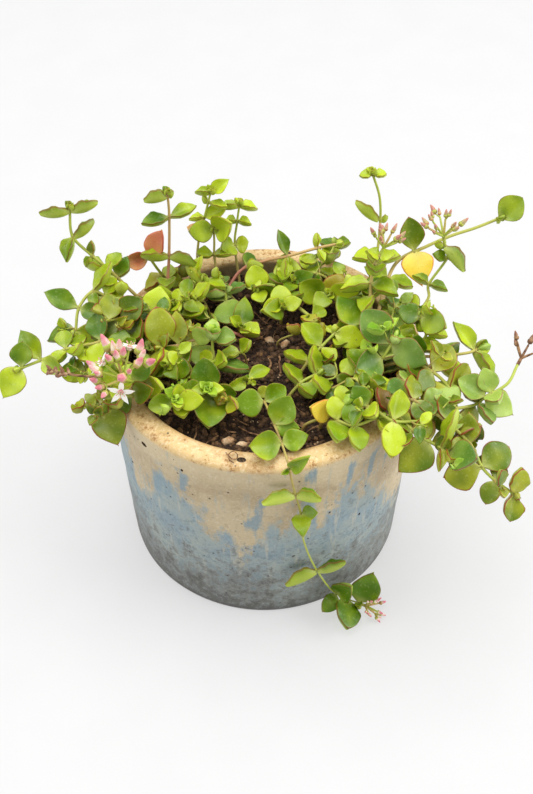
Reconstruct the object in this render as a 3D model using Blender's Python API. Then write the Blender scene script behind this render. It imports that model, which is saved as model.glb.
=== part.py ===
"""Trailing jade in a round glazed stoneware pot, modelled at its real size.

The frame has +Z up, +X to the right of the front view and +Y away from it.
The origin is the centre of the pot's underside.
Shapes are worked out in millimetres and written in metres.
"""

import math
import random

import bmesh
import bpy
from mathutils import Matrix, Vector
from mathutils.bvhtree import BVHTree

MM = 0.001

# Pot
POT_HEIGHT = 94.0
POT_TOP_RADIUS = 60.0
POT_FOOT_RADIUS = 55.9
POT_MOUTH_RADIUS = 51.3
POT_WELL_RADIUS = 46.5
POT_FLOOR = 9.0
POT_SIDES = 48

# Soil
SOIL_TOP = 87.0
SOIL_BUMP = 1.0
SOIL_SIDES = 24
SOIL_RINGS = (14.0, 28.0, 41.0)
GAP = 0.3
ROOT_LIMIT = 46.5
ROOT_SPACING = 4.6
HOLE_SIDES = 4
HOLE_CLEARANCE = 0.5
HOLE_DEPTH = 5.0

# Plant
STEM_SIDES = 5
STEM_RING_SPACING = 9.0
STEM_COLLAR = 4.5
LEAF_THICKNESS = 1.5
LEAF_WIDTH = 0.85
LEAF_ROOT_OFFSET = 0.4

# A leaf's cross-sections: share of the length, of the width and of the thickness
LEAF_STATIONS = ((0.0, 0.0, 0.6), (0.36, 1.0, 1.0), (0.75, 0.78, 0.8))
CLEARANCE = 0.36
TIP_OVERRUN = 1.2
SEED = 41

# Directions that a pair of leaves opens in
SIDE = (1, 0, 0)
FRONT = (0, 1, 0)
SLANT = (1, 1, 0)
CROSS = (1, -1, 0)

# Ways that blades face: to the sky, to the front view, or edge-on to it
UPWARD = None
VIEWED = (0, -0.7, 0.7)
EDGE_ON = (0, 0.55, 0.8)

# Joins: edges up to these lengths are closed up, the longest that stays sound;
# where none does, the pieces are nudged and joined again
SOLVERS = ("EXACT", "MANIFOLD")
SHORT_EDGES = (0.4, 0.35, 0.3, 0.25, 0.2, 0.15, 0.1, 0.05, 0.0)
NUDGES = 8
NUDGE = 0.03

COLOURS = {
    "green": (0.16, 0.30, 0.045),
    "lime": (0.30, 0.42, 0.06),
    "blue": (0.13, 0.25, 0.10),
    "olive": (0.17, 0.20, 0.04),
    "red": (0.42, 0.20, 0.08),
    "yellow": (0.60, 0.48, 0.10),
    "dry": (0.16, 0.09, 0.05),
    "bloom": (0.62, 0.36, 0.34),
    "pot": (0.42, 0.44, 0.41),
    "soil": (0.035, 0.022, 0.014),
}
ROUGHNESS = {"pot": 0.55, "soil": 0.95, "bloom": 0.5, "dry": 0.8}

# Cream pumice chips in the soil: x, y and size
CHIPS = (
    (-13, -41, 4.4),
    (-8, -43, 4.0),
    (2, 11, 3.6),
    (8, 8, 4.2),
    (0, 42, 3.4),
    (20, 2, 3.0),
    (24, -19, 4.0),
    (-24, 16, 3.2),
    (-3, -8, 3.0),
)

# Leafy stems: name, colour, radius, root, route above the soil, and leaf pairs.
# A pair is its place along the route, the two lengths, its direction or its two
# directions and its lean towards the stem's tip in degrees, then, where they are
# not the usual ones, the way its blades face and their width for a length of 1.
# Place 1 is the route's first point.
STEMS = (
    ("left_tall", "green", 1.0, (-45, 22),
     [(-55, 25, 105), (-60, 25, 112), (-65, 26, 117), (-72, 29, 124), (-72, 31, 135)],
     [(1.2, (9, 9), SLANT, 20), (2, (9, 8), ((-0.9, -0.3, 0.1), (0.7, 0.6, 0.2)), 10),
      (3, (6, 5), (0.1, 0.6, 1), 20, UPWARD, 0.5),
      (4, (10, 10), ((0.8, 0.3, 0.4), (-0.1, -0.7, -0.6)), 0, EDGE_ON, 0.55),
      (5, (11, 11), ((-0.9, -0.3, -0.1), (1, 0, 0.35)), 0, EDGE_ON, 0.6)]),
    ("left_middle", "green", 1.0, (-45.5, 14),
     [(-54, 14, 101), (-59, 16, 104), (-65, 17, 107), (-70, 11, 104), (-71, 4, 99)],
     [(1.4, (10, 10), (-0.3, 1, 0.4), 15), (2.3, (8, 8), (0.4, 0.8, 0.4), 10),
      (3, (13, 8), ((0.8, 0.5, 0.4), (0.1, -0.8, -0.2)), 0, UPWARD, 0.55),
      (4, (14, 12), ((-1, 0.35, 0.3), (1, -0.3, -0.1)), 0, VIEWED, 0.6),
      (5, (12, 11), (1, 0.3, 0), 10, VIEWED, 0.8)]),
    ("left_low", "green", 1.0, (-46, -2),
     [(-56, -3, 98), (-65, -4, 99.5), (-74, -5, 98), (-82, -8, 96), (-90, -11, 94)],
     [(1.6, (11, 10), (0.2, 1, 0.5), 10), (2.4, (8, 8), (0.3, -1, 0.3), 10),
      (3, (8, 7), (0.3, 1, 0.3), 15),
      (4, (14, 11), ((-0.8, 0.8, 0.5), (1, -0.3, 0.0)), 0, UPWARD, 0.65),
      (5, (10, 13), ((0.3, 0.6, 0.7), (-0.9, -0.4, -0.35)), 0, VIEWED, 0.9)]),
    ("left_front", "olive", 0.9, (-38, -24),
     [(-46, -29, 98), (-53, -31, 99), (-57, -32, 98), (-58, -34, 95.5)],
     [(1.1, (10, 9), (1, 0.4, 0.3), 10),
      (2, (8, 9), ((-0.8, 0.6, 0.4), (0.5, -0.8, 0.1)), 0),
      (3, (6, 6), ((-0.9, 0.2, 0.2), (0.8, -0.5, 0)), 10),
      (3.8, (14, 6), ((0.1, -0.6, -0.5), (-0.8, 0.3, 0.2)), 0, VIEWED, 0.95)]),
    ("left_bloom", "green", 1.0, (-36, -15),
     [(-42, -23, 99), (-46, -27, 103), (-48, -30, 107)],
     [(1.2, (10, 10), (1, -0.6, 0.2), 15), (2.2, (9, 9), (0.9, 0.5, 0), 10)]),
    ("back_left_tall", "green", 0.9, (-36, 28),
     [(-38, 31, 97), (-37, 35, 110), (-36, 37, 127), (-36, 37, 137)],
     [(1.3, (7, 9), ((0.1, 1, 0), (0, -1, -0.1)), 0), (2, (11, 11), (1, 0, -0.1), -8, EDGE_ON, 0.6),
      (3, (11, 11), ((0.9, 0.4, 0.15), (-0.9, -0.4, -0.1)), 0, UPWARD, 0.55),
      (4, (9, 2.4), ((-1, 0, -0.25), (1, 0, 0)), 5, EDGE_ON, 0.6)]),
    ("back_left_red", "red", 1.0, (-31, 33),
     [(-40, 36, 98.5), (-45, 37, 107)],
     [(1, (9, 9), ((0.6, -0.8, 0), (-0.8, -0.3, 0.1)), 0),
      (2, (13, 10), ((0.2, 0.3, 1), (-0.9, -0.1, 0.3)), 0, VIEWED, 0.7)]),
    ("back_left_thin", "green", 0.8, (-25, 38),
     [(-27, 45, 98), (-26, 51, 107), (-24, 52, 114), (-21, 53, 126)],
     [(2.2, (6, 6), (1, -0.2, 0.1), 20),
      (3.1, (6, 9), ((-0.9, -0.2, 0.1), (0.9, 0.2, 0.3)), 0, UPWARD, 0.7),
      (3.7, (8, 3), ((1, -0.4, -0.2), (-1, 0.3, 0)), 0, EDGE_ON, 0.5),
      (4, (9, 6), ((0.6, 0.2, 0.8), (-0.9, 0, 0.3)), 10, UPWARD, 0.6)]),
    ("back_hearts", "green", 0.8, (-18, 37),
     [(-20, 45, 100), (-20, 48, 106), (-20, 48, 111)],
     [(1.2, (7, 7), (1, 0.3, 0.1), 10),
      (3, (10, 12), ((-0.7, -0.3, 0.5), (0.7, -0.1, 0.8)), 0, VIEWED, 0.95)]),
    ("back_small", "green", 0.8, (-10, 41),
     [(-12, 52, 101), (-11, 55, 110), (-10, 57, 117)],
     [(1, (9, 7), ((-0.7, -0.7, 0), (0.8, 0.4, 0)), 0, VIEWED, 1.0),
      (2.1, (6, 6), (1, -0.4, 0), 5, UPWARD, 0.6),
      (3, (8, 8), (1, 0.2, 0.1), 5, UPWARD, 0.6)]),
    ("back_pink", "green", 1.0, (-17, 30),
     [(-10, 39, 98), (0, 41, 102), (9, 41, 104.5), (21, 43, 107), (28, 44, 108)],
     [(1.3, (8, 8), FRONT, 20),
      (3, (11, 10), ((-0.3, 0.5, 1), (-0.2, -0.8, -0.3)), 0, UPWARD, 0.45),
      (4, (6, 7), ((-0.4, 0.6, 0.7), (0.4, -0.8, -0.2)), 0, UPWARD, 0.45)]),
    ("right_bloom_dark", "green", 1.1, (40, 3),
     [(40, 8, 101), (40, 13, 108), (40, 16, 112), (41, 19, 118), (43, 21, 121.5)],
     [(1, (11, 13), ((0.6, -0.8, 0), (-0.7, 0.5, 0)), 0, VIEWED, 0.9),
      (2, (9, 9), (0.5, 1, 0), 0),
      (3, (12, 12), ((-1, 0.05, 0.1), (0.8, -0.7, -0.1)), 0, UPWARD, 0.65),
      (4, (9, 9), ((0.2, 1, 0.2), (-0.1, -1, 0.1)), 10),
      (4.8, (6, 6), ((-0.8, -0.4, 0.3), (0.9, -0.2, 0.3)), 20)]),
    ("right_tall", "green", 0.9, (37, 27),
     [(43, 40, 100), (45, 48, 112), (44, 49, 125), (41, 51, 136)],
     [(1.2, (10, 10), ((-0.8, -0.4, 0.1), (0.8, -0.4, 0.1)), 10),
      (2.3, (12, 3), ((-0.7, 0.3, 0.7), (1, 0, 0)), 0, EDGE_ON, 0.45),
      (4, (5, 5), ((-1, 0, 0.1), (1, -0.1, 0)), 10)]),
    ("right_long", "yellow", 1.1, (42.5, 13),
     [(47, 28, 99), (53, 41, 102), (64, 45, 106), (74, 47, 110), (83, 48, 113),
      (92, 50, 116)],
     [(1.3, (10, 10), CROSS, 15),
      (2.6, (11, 13), ((-0.1, 0.4, 1), (0.1, -0.9, -0.4)), 0, VIEWED, 0.75),
      (6, (12, 3), ((1, 0.1, 0.2), (-0.2, -0.8, 0)), 0, VIEWED, 0.9)]),
    ("right_bloom_pale", "green", 0.9, (45.5, 6),
     [(56, 10, 98), (62, 15, 105), (64, 18, 110), (67, 22, 117), (68, 25, 123.5)],
     [(1.3, (11, 11), (0.7, -0.9, 0.1), 10, VIEWED, 0.95),
      (3, (7, 8), ((-0.8, 0.5, 0.4), (0.8, -0.6, 0)), 0, UPWARD, 0.55),
      (4, (6, 6), (1, 0.1, 0.2), 10),
      (4.9, (4, 12), ((-0.8, 0, 0.4), (0.5, -0.4, -0.9)), -20, EDGE_ON, 0.45)]),
    ("right_upright", "green", 1.0, (46, -1.5),
     [(56, -5, 98), (60, -3, 103), (58, 0, 109)],
     [(1.2, (10, 10), (0.8, -0.6, 0.1), 10),
      (2.3, (11, 8), ((0.2, 1, 0.4), (0.8, -0.4, -0.2)), 0),
      (3, (9, 11), ((-0.8, 0.5, 0.1), (0.6, -0.8, 0)), 0, VIEWED, 0.9)]),
    ("right_pointed", "green", 1.0, (45.5, -8.5),
     [(55, -10, 98), (66, -10, 99), (74, -8, 98.5), (79, -6, 98.5)],
     [(1.1, (9, 9), (0.2, 1, 0.2), 0), (2, (10, 10), (0.2, 1, 0.2), 10),
      (3.7, (13, 13), ((-0.7, 0.6, 0.5), (0.5, -0.8, -0.1)), 0, UPWARD, 0.5),
      (4, (5, 5), ((0.6, 0.8, 0.4), (0.9, -0.2, 0.3)), 20)]),
    ("right_rosette", "blue", 1.0, (44, -15.5),
     [(51, -25, 98), (58, -29, 97.5), (67, -31, 95), (75, -29, 92), (82, -25, 91),
      (88, -20, 96), (92, -16, 99)],
     [(1.2, (10, 10), (0.3, 1, 0.2), 0),
      (2, (9, 9), ((-0.2, -0.9, 0.1), (0.2, 0.9, 0.3)), 10),
      (3.2, (12, 10), ((0.2, 1, 0.3), (-0.3, -1, -0.1)), 0),
      (4.4, (10, 10), ((-0.4, 0.9, 0.3), (0.4, -0.9, 0)), 0),
      (5, (12, 12), ((-0.9, 0.1, 0.2), (1, -0.3, -0.1)), 0, VIEWED, 0.9),
      (5.3, (10, 9), ((0.2, 0.9, 0.4), (-0.1, -0.9, 0.1)), 10, VIEWED, 0.8)]),
    ("right_brown_edged", "olive", 1.0, (35.5, -28.5),
     [(46, -38, 98), (53, -45, 95), (60, -48, 90.5), (65, -49, 88)],
     [(1, (10, 10), (0.7, -0.7, 0), 10), (1.8, (9, 9), (0.7, 0.7, 0.2), 10),
      (2.6, (14, 15), ((-0.5, 0.6, 0.4), (-0.7, -0.5, -0.2)), 0, VIEWED, 0.9),
      (3.2, (15, 9), ((0.2, 0.6, 0.9), (0.1, -0.9, -0.2)), 0, EDGE_ON, 0.4),
      (3.8, (7, 14), ((-0.7, 0.5, 0.5), (0.9, -0.5, 0)), 0, VIEWED, 0.85),
      (4, (8, 7), ((0.5, 0.8, 0.5), (-0.4, -0.6, 0.5)), 10)]),
    ("right_trailing", "olive", 1.0, (41, -21.5),
     [(52, -32, 99), (63, -38, 95), (74, -44, 88), (77, -50, 82), (83, -52, 78),
      (89, -54, 74)],
     [(1.2, (10, 10), (-0.5, 1, 0.2), 0), (2.2, (11, 11), (-0.4, 1, 0.2), 0),
      (3, (11, 6), ((0.3, 0.9, 0.4), (0, -1, -0.3)), 0),
      (4, (14, 13), ((-1, -0.1, 0), (0.9, 0.4, 0.4)), 0, VIEWED, 0.9),
      (5, (8, 9), ((0.3, 0.9, 0.4), (-0.3, -0.8, -0.6)), 0),
      (6, (10, 10), ((0.2, 0.5, 0.9), (0.1, -0.6, -0.7)), 0, VIEWED, 0.85)]),
    ("right_round", "olive", 1.0, (39, -9),
     [(52, -15, 101), (61, -19, 100), (67, -24, 96), (70, -31, 90), (69, -37, 85)],
     [(1, (11, 11), CROSS, 10), (2, (12, 11), ((0.6, 0.9, 0.2), (-0.6, -0.8, 0)), 0),
      (3, (12, 12), ((1, 0.2, 0.1), (-0.9, -0.5, 0)), 0, VIEWED, 0.95),
      (4, (11, 11), ((0.7, 0.6, 0.2), (-0.8, -0.4, -0.1)), 0, VIEWED, 0.95),
      (5, (12, 9), ((0.4, 0.3, 0.6), (-0.7, -0.2, -0.2)), 0, VIEWED, 0.9)]),
    ("right_big_blue", "blue", 1.0, (36, -16),
     [(43, -13, 101), (47, -9, 106)],
     [(1, (14, 13), ((-0.8, -0.6, -0.1), (0.7, 0.7, 0.3)), 0),
      (1.8, (16, 15), ((-0.5, 0.8, 0.4), (0.8, -0.6, 0)), 0, VIEWED, 0.85),
      (2, (5, 5), ((0.3, 1, 0.6), (-0.1, -1, 0.4)), 20)]),
    ("right_inner_long", "green", 1.0, (32, 9),
     [(34, 8, 98), (36, 3, 101)],
     [(1, (10, 11), ((-0.9, -0.4, 0), (0.7, -0.7, 0)), 0),
      (2, (15, 10), ((-0.6, 0.8, 0.3), (1, 0.2, 0.1)), 0, UPWARD, 0.75)]),
    ("front_right_pair", "green", 1.0, (28, -30),
     [(36, -39, 97.5), (45, -43, 98.5), (52, -41, 98)],
     [(1, (9, 9), CROSS, 10),
      (2, (11, 13), ((0.1, 0.9, 0.4), (0.1, -0.9, -0.45)), 0, VIEWED, 0.7)]),
    ("front_right_round", "lime", 1.0, (20.5, -35),
     [(28, -41, 97.5), (34, -43, 99), (39, -40, 100.5)],
     [(1, (9, 11), ((-0.3, 0.9, 0.3), (0.1, -0.9, 0.1)), 0),
      (2, (10, 10), ((-0.2, 0.9, 0.4), (0.3, -0.9, 0)), 0),
      (3, (8, 10), ((-0.4, 0.6, 0.7), (0.9, -0.5, 0)), 0)]),
    ("front_yellow", "yellow", 0.9, (14.5, -36),
     [(23, -37, 96.5), (28, -35, 100)],
     [(1.2, (10, 6), ((-0.8, -0.3, 0.4), (0.7, 0.5, 0)), 0, VIEWED, 0.95),
      (2, (7, 7), ((-0.3, 0.9, 0.5), (0.6, -0.8, 0)), 10)]),
    ("front_left_rosette", "lime", 1.0, (-29, -26),
     [(-30, -30, 96), (-31, -33, 100)],
     [(1, (7, 8), ((0.1, 0.9, 0), (0.2, -0.9, -0.1)), 10),
      (2, (10, 10), SIDE, 5, VIEWED, 0.75),
      (2, (6, 6), ((0.1, 0.8, 0.5), (0.1, -0.9, 0.3)), 10)]),
    ("front_left_dark", "green", 1.0, (-20, -24),
     [(-20, -26, 96), (-20, -29, 101)],
     [(1, (15, 13), ((0, -0.95, -0.05), (-0.1, 0.7, 0.7)), 0, VIEWED, 0.85),
      (1.5, (10, 10), SIDE, 0), (2, (6, 6), SIDE, 20)]),
    ("centre_rosette", "blue", 0.9, (-19, -13),
     [(-19, -11, 96), (-19, -6, 106)],
     [(1, (13, 14), ((-0.7, 0.7, 0.1), (1, -0.25, 0)), 0, UPWARD, 0.75),
      (1.9, (9, 9), ((-0.9, 0.3, 0.1), (0.9, -0.2, 0.1)), 0, VIEWED, 0.9),
      (2, (7, 7), ((0, 0.8, 0.4), (0, -0.9, 0.2)), 10, VIEWED, 0.9)]),
    ("left_pink", "olive", 1.0, (-6, 7),
     [(-14, 6, 96.5), (-24, 1, 98), (-32, -4, 99), (-38, -6, 100)],
     [(3, (13, 13), ((0, 0.6, 0.8), (0.15, -0.9, -0.1)), 0, VIEWED, 0.65),
      (4, (15, 14), ((-0.1, 0.5, 0.9), (-0.2, -0.9, -0.1)), 0, VIEWED, 0.9),
      (4, (6, 6), ((0.9, 0.3, 0.4), (-0.9, 0.2, 0.3)), 20)]),
    ("left_big_round", "lime", 1.1, (-38, 20),
     [(-38, 17, 94), (-39, 14, 96)],
     [(1, (10, 10), ((-0.9, 0.3, 0.3), (0.9, 0.4, 0.3)), 0),
      (1.9, (13, 9), ((0, 0.3, 1), (0, -1, 0.1)), 0, VIEWED, 1.0)]),
    ("back_lime_pair", "lime", 1.0, (-26, 27),
     [(-25, 29, 97), (-24, 30, 101)],
     [(1, (8, 8), (0.3, 1, 0.1), 10),
      (2, (9, 10), ((-0.9, 0.4, 0.2), (0.9, -0.5, -0.1)), 0, EDGE_ON, 0.6)]),
    ("back_blue", "blue", 0.9, (-15, 21),
     [(-15, 24, 96), (-15, 26, 99)],
     [(1, (13, 9), ((0.1, -1, 0.05), (-0.5, 0.9, 0.2)), 0, VIEWED, 0.95), (2, (8, 8), SIDE, 20)]),
    ("centre_ovals", "green", 0.9, (-10, 14.5),
     [(-10, 12, 94), (-9, 9, 96)],
     [(1.5, (12, 9), ((0, 0.6, 0.8), (0.4, -0.9, -0.1)), 0, VIEWED, 0.75),
      (2, (6, 6), CROSS, 20)]),
    ("centre_cupped", "lime", 1.0, (6.5, 20),
     [(7, 18, 96), (7, 17, 99)],
     [(1.3, (11, 10), ((-0.2, -0.4, 0.7), (0.3, 0.8, 0.4)), 0, VIEWED, 0.8),
      (2, (8, 8), (1, 0.2, 0.2), 10)]),
    ("back_upright", "green", 1.0, (9, 34),
     [(10, 34, 95), (11, 33, 98)],
     [(1, (13, 11), ((0, 0.4, 1), (-0.8, -0.3, 0.4)), 0, VIEWED, 0.85),
      (2, (9, 8), ((0.9, 0.1, 0.5), (-0.2, -0.9, 0.2)), 0)]),
    ("back_narrow", "green", 0.9, (-1, 31),
     [(-2, 30, 94), (-3, 29, 97)],
     [(1, (12, 10), ((-0.3, 0.3, 1), (0.8, 0.2, 0.6)), 0), (2, (8, 8), (0.3, -1, 0.2), 10)]),
    ("right_inner_round", "green", 1.0, (23, 27),
     [(24, 26, 96), (25, 24, 99)],
     [(1, (12, 12), ((-0.8, 0.2, 0.5), (0.6, 0.5, 0.6)), 0, VIEWED, 0.9),
      (2, (13, 9), ((0.6, -0.4, 0.6), (-0.6, -0.7, 0)), 0, VIEWED, 0.85)]),
    ("long_tan", "green", 1.1, (-4, 37),
     [(5, 27, 97), (13, 18, 98), (21, 9, 98), (28, 3, 98), (33, 0, 98)],
     [(1.5, (7, 7), SLANT, 20), (2.6, (7, 6), SLANT, 10), (4.4, (8, 8), SLANT, 10)]),
    ("back_yellow_stem", "green", 0.9, (31, 31),
     [(24, 36, 98), (15, 37, 99.5), (8, 37, 100)],
     [(1.4, (8, 8), FRONT, 10), (3, (7, 7), FRONT, 10)]),
    ("centre_pale", "lime", 1.0, (12, -14),
     [(16, -10, 96), (21, -5, 99), (26, 0, 101)],
     [(1, (10, 10), ((-0.8, 0.5, 0), (0.7, -0.7, 0)), 0),
      (2, (11, 8), ((-0.7, 0.6, 0.3), (0.6, -0.7, 0)), 0),
      (3, (12, 4), ((1, -0.1, 0.1), (-0.5, 0.9, 0)), 0, VIEWED, 0.75)]),
    ("front_middle", "green", 1.0, (8, -24),
     [(13, -21, 96), (19, -18, 98)],
     [(1, (10, 9), ((-0.5, 0.9, 0.2), (0.4, -0.9, 0)), 0),
      (2, (11, 10), ((0.2, 0.8, 0.5), (0.2, -0.9, 0)), 0)]),
    ("front_left_narrow", "green", 0.9, (-9, -14),
     [(-8, -17, 95), (-6, -20, 97)],
     [(1.8, (11, 9), ((0.9, 0.5, 0.1), (-0.8, -0.6, 0)), 0, UPWARD, 0.5)]),
    ("right_shade", "green", 1.0, (29, -14),
     [(34, -18, 97), (38, -20, 99)],
     [(1, (9, 9), CROSS, 0), (2, (12, 10), ((-0.4, 0.8, 0.4), (0.6, -0.8, 0)), 0)]),
    ("left_edge", "olive", 1.0, (-44.5, 5.5),
     [(-50, 7, 99), (-54, 6, 103), (-58, 3, 105)],
     [(1, (13, 12), ((-0.4, 0.9, 0.3), (0.5, -0.8, 0)), 0, VIEWED, 0.85),
      (1.5, (8, 8), CROSS, 30), (2, (13, 12), ((-0.9, -0.5, 0.1), (0.9, 0.4, 0.2)), 0),
      (3, (11, 10), ((0.2, 0.8, 0.3), (-0.2, -0.9, 0)), 0, VIEWED, 0.8)]),
    ("left_inner", "green", 1.0, (-38, 7),
     [(-40, 7, 96), (-42, 8, 101)],
     [(1, (11, 11), ((0.9, -0.2, 0), (-0.7, -0.7, 0)), 0),
      (2, (13, 11), ((0.1, 1, 0.3), (0.2, -1, 0.1)), 0, VIEWED, 0.85)]),
    ("left_outer", "green", 1.0, (-43.5, -10.5),
     [(-54, -11, 99), (-61, -11, 97), (-66, -12, 92)],
     [(1, (12, 11), ((0.2, 1, 0.3), (0, -1, 0)), 0), (1.5, (8, 8), SLANT, 30),
      (2, (12, 11), ((-0.5, 0.9, 0.2), (0.2, -1, 0)), 0, VIEWED, 0.85),
      (3, (11, 10), ((-1, 0, -0.2), (0.6, 0.8, 0.2)), 0, VIEWED, 0.9)]),
    ("front_trailing", "green", 1.0, (-2, -25),
     [(0, -31, 97), (3, -42, 99), (6, -51, 97.5), (8, -59, 96.8), (9.5, -62.8, 91),
      (11, -61.8, 82), (13, -60.5, 70), (14, -60, 56), (18, -58.4, 38),
      (25, -55.2, 17), (31, -53.4, 7), (37.5, -55, 5)],
     [(1, (9, 11), ((0.7, 0.6, 0.2), (-0.9, -0.2, 0.1)), 0, VIEWED, 0.95),
      (2.2, (12, 9), ((0.3, 0.6, 0.6), (0.6, -0.3, 0)), 0, VIEWED, 0.85),
      (3, (12, 10), ((-1, -0.1, 0.1), (1, 0.3, 0.1)), 0, VIEWED, 0.85),
      (4.3, (11, 4), ((0.5, -0.1, 0.8), (-0.6, -0.7, -0.2)), 0, UPWARD, 0.5),
      (5.9, (12, 9), ((-1, -0.2, 0.2), (1, -0.2, 0.1)), 0, EDGE_ON, 0.55),
      (7, (9, 7), ((0.05, -1, 0.1), (0.6, -0.2, 0.5)), 0),
      (9.3, (13, 12), ((-0.95, -0.35, -0.1), (1, -0.1, 0.5)), 0, EDGE_ON, 0.55),
      (10.6, (12, 9), ((0.35, -0.2, 1), (-0.6, -0.8, 0.05)), 0, VIEWED, 0.8),
      (11.2, (14, 5), ((0.15, -1, 0.02), (0, 0.6, 0.8)), 0, UPWARD, 0.9),
      (12, (14, 4), ((0.9, 0.1, 0.35), (0.2, -0.8, 0.2)), 0, VIEWED, 0.9)]),
)

# Flower and bud heads: name, colour, the stem that carries it, the number of
# buds, the spread in degrees, the length of the flower stalks and open stars
HEADS = (
    ("left_bloom_head", "bloom", "left_bloom", 9, 62, 11.0, 2),
    ("right_dark_buds", "bloom", "right_bloom_dark", 7, 62, 5.5, 0),
    ("right_pale_buds", "bloom", "right_bloom_pale", 7, 66, 7.0, 0),
    ("right_rosette_buds", "dry", "right_rosette", 4, 60, 6.0, 0),
    ("front_trailing_buds", "bloom", "front_trailing", 7, 65, 6.0, 0),
)
HEAD_CORE = 1.7
TWIG_RADIUS = 0.36
BUD_LENGTH = 4.2
BUD_WIDTH = 1.9
PETAL_LENGTH = 5.2
PETAL_WIDTH = 1.7

# Brown flowered-out stalk: radius, root and route
DRY_STALK = (0.8, (-44.5, -17.5),
             [(-53, -21, 99.5), (-62, -23, 102), (-70, -22, 102), (-78, -18, 100)])

# Short stems that fill the gaps: the middle of each patch, and how it leans
FILLERS = (
    ((-30, 10), (-0.3, 0.4)),
    ((-30, -10), (-0.4, -0.4)),
    ((30, 20), (0.5, 0.3)),
    ((20, 38), (0.5, 0.9)),
)


def lengthwise(points, place):
    """Point and direction on a smooth curve; place counts its control points."""
    last = len(points) - 1
    step = min(int(max(place, 0.0)), last - 1)
    t = min(max(place - step, 0.0), 1.0)
    p1, p2 = points[step], points[step + 1]
    p0 = points[step - 1] if step > 0 else p1 * 2 - p2
    p3 = points[step + 2] if step + 2 <= last else p2 * 2 - p1
    a = p1 * 2
    b = p2 - p0
    c = p0 * 2 - p1 * 5 + p2 * 4 - p3
    d = p1 * 3 - p0 - p2 * 3 + p3
    point = (a + b * t + c * t * t + d * t ** 3) * 0.5
    heading = (b + c * 2 * t + d * 3 * t * t) * 0.5
    return point, heading.normalized()


def wall_radius(z):
    """Outer radius of the pot's wall at a height."""
    return POT_FOOT_RADIUS + (POT_TOP_RADIUS - POT_FOOT_RADIUS) * z / POT_HEIGHT


def well_radius(z):
    """Inner radius of the pot's wall at a height."""
    share = (z - POT_FLOOR) / (POT_HEIGHT - POT_FLOOR)
    return POT_WELL_RADIUS + (POT_MOUTH_RADIUS - POT_WELL_RADIUS) * share


def soil_wave(x, y):
    """Height of the uneven soil surface before it is faceted."""
    wave = math.sin(x * 0.31 + 1.3) * math.cos(y * 0.27 - 0.4)
    ripple = math.sin(x * 0.83 - y * 0.61)
    return SOIL_TOP + SOIL_BUMP * (0.7 * wave + 0.3 * ripple)


def turned(profile, sides):
    """Vertices and faces of a closed turned solid, its profile from foot to foot."""
    verts = [Vector((0.0, 0.0, profile[0][1]))]
    for radius, z in profile[1:-1]:
        for k in range(sides):
            turn = 2 * math.pi * k / sides
            verts.append(Vector((radius * math.cos(turn), radius * math.sin(turn), z)))
    verts.append(Vector((0.0, 0.0, profile[-1][1])))
    rings = len(profile) - 2
    faces = []
    for k in range(sides):
        nxt = (k + 1) % sides
        faces.append((0, 1 + nxt, 1 + k))
        for ring in range(rings - 1):
            low = 1 + ring * sides
            faces.append((low + k, low + nxt, low + sides + nxt, low + sides + k))
        top = 1 + (rings - 1) * sides
        faces.append((top + k, top + nxt, len(verts) - 1))
    return verts, faces


def pot_shape():
    """The pot: a tapered wall with eased edges, a flat foot and a flat floor."""
    profile = [
        (0.0, 0.0),
        (POT_FOOT_RADIUS - 1.6, 0.0),
        (POT_FOOT_RADIUS - 0.4, 0.7),
        (wall_radius(2.4), 2.4),
        (wall_radius(47.0), 47.0),
        (POT_TOP_RADIUS - 0.1, POT_HEIGHT - 2.2),
        (POT_TOP_RADIUS - 0.8, POT_HEIGHT - 0.6),
        (POT_TOP_RADIUS - 2.4, POT_HEIGHT),
        (POT_MOUTH_RADIUS + 1.6, POT_HEIGHT),
        (POT_MOUTH_RADIUS + 0.3, POT_HEIGHT - 0.8),
        (POT_MOUTH_RADIUS, POT_HEIGHT - 2.2),
        (POT_WELL_RADIUS, POT_FLOOR),
        (0.0, POT_FLOOR),
    ]
    return turned(profile, POT_SIDES)


def soil_shape():
    """The soil plug, with an uneven top; it fills the pot down to its floor."""
    top_edge = well_radius(SOIL_TOP) - GAP - 0.1
    profile = [(0.0, POT_FLOOR + GAP), (POT_WELL_RADIUS - GAP - 0.1, POT_FLOOR + GAP)]
    profile.append((top_edge, SOIL_TOP))
    profile += [(radius, SOIL_TOP) for radius in reversed(SOIL_RINGS)]
    profile.append((0.0, SOIL_TOP))
    verts, faces = turned(profile, SOIL_SIDES)
    for vert in verts:
        if abs(vert.z - SOIL_TOP) < 0.01:
            vert.z = soil_wave(vert.x, vert.y)
    return verts, faces


def soil_height(x, y):
    """Height of the soil's facets."""
    hit = SOIL_SURFACE.ray_cast(Vector((x, y, SOIL_TOP + 20.0)), Vector((0, 0, -1)))
    return hit[0].z if hit[0] else SOIL_TOP


def tube_shape(points, radii, sides, grow=0.0):
    """A tube along a run of points, closed flat at both ends."""
    verts = []
    faces = []
    side = None
    for k, point in enumerate(points):
        before = points[max(k - 1, 0)]
        after = points[min(k + 1, len(points) - 1)]
        heading = (after - before).normalized()
        if side is None:
            start = Vector((0, 1, 0)) if abs(heading.y) < 0.9 else Vector((1, 0, 0))
            side = start.cross(heading).normalized()
        side = (side - heading * side.dot(heading)).normalized()
        other = heading.cross(side)
        for j in range(sides):
            turn = 2 * math.pi * j / sides
            reach = radii[k] + grow
            verts.append(point + (side * math.cos(turn) + other * math.sin(turn)) * reach)
    for k in range(len(points) - 1):
        for j in range(sides):
            a = k * sides + j
            b = k * sides + (j + 1) % sides
            faces.append((a, b, b + sides, a + sides))
    faces.append(tuple(reversed(range(sides))))
    last = (len(points) - 1) * sides
    faces.append(tuple(range(last, last + sides)))
    return verts, faces


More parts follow.
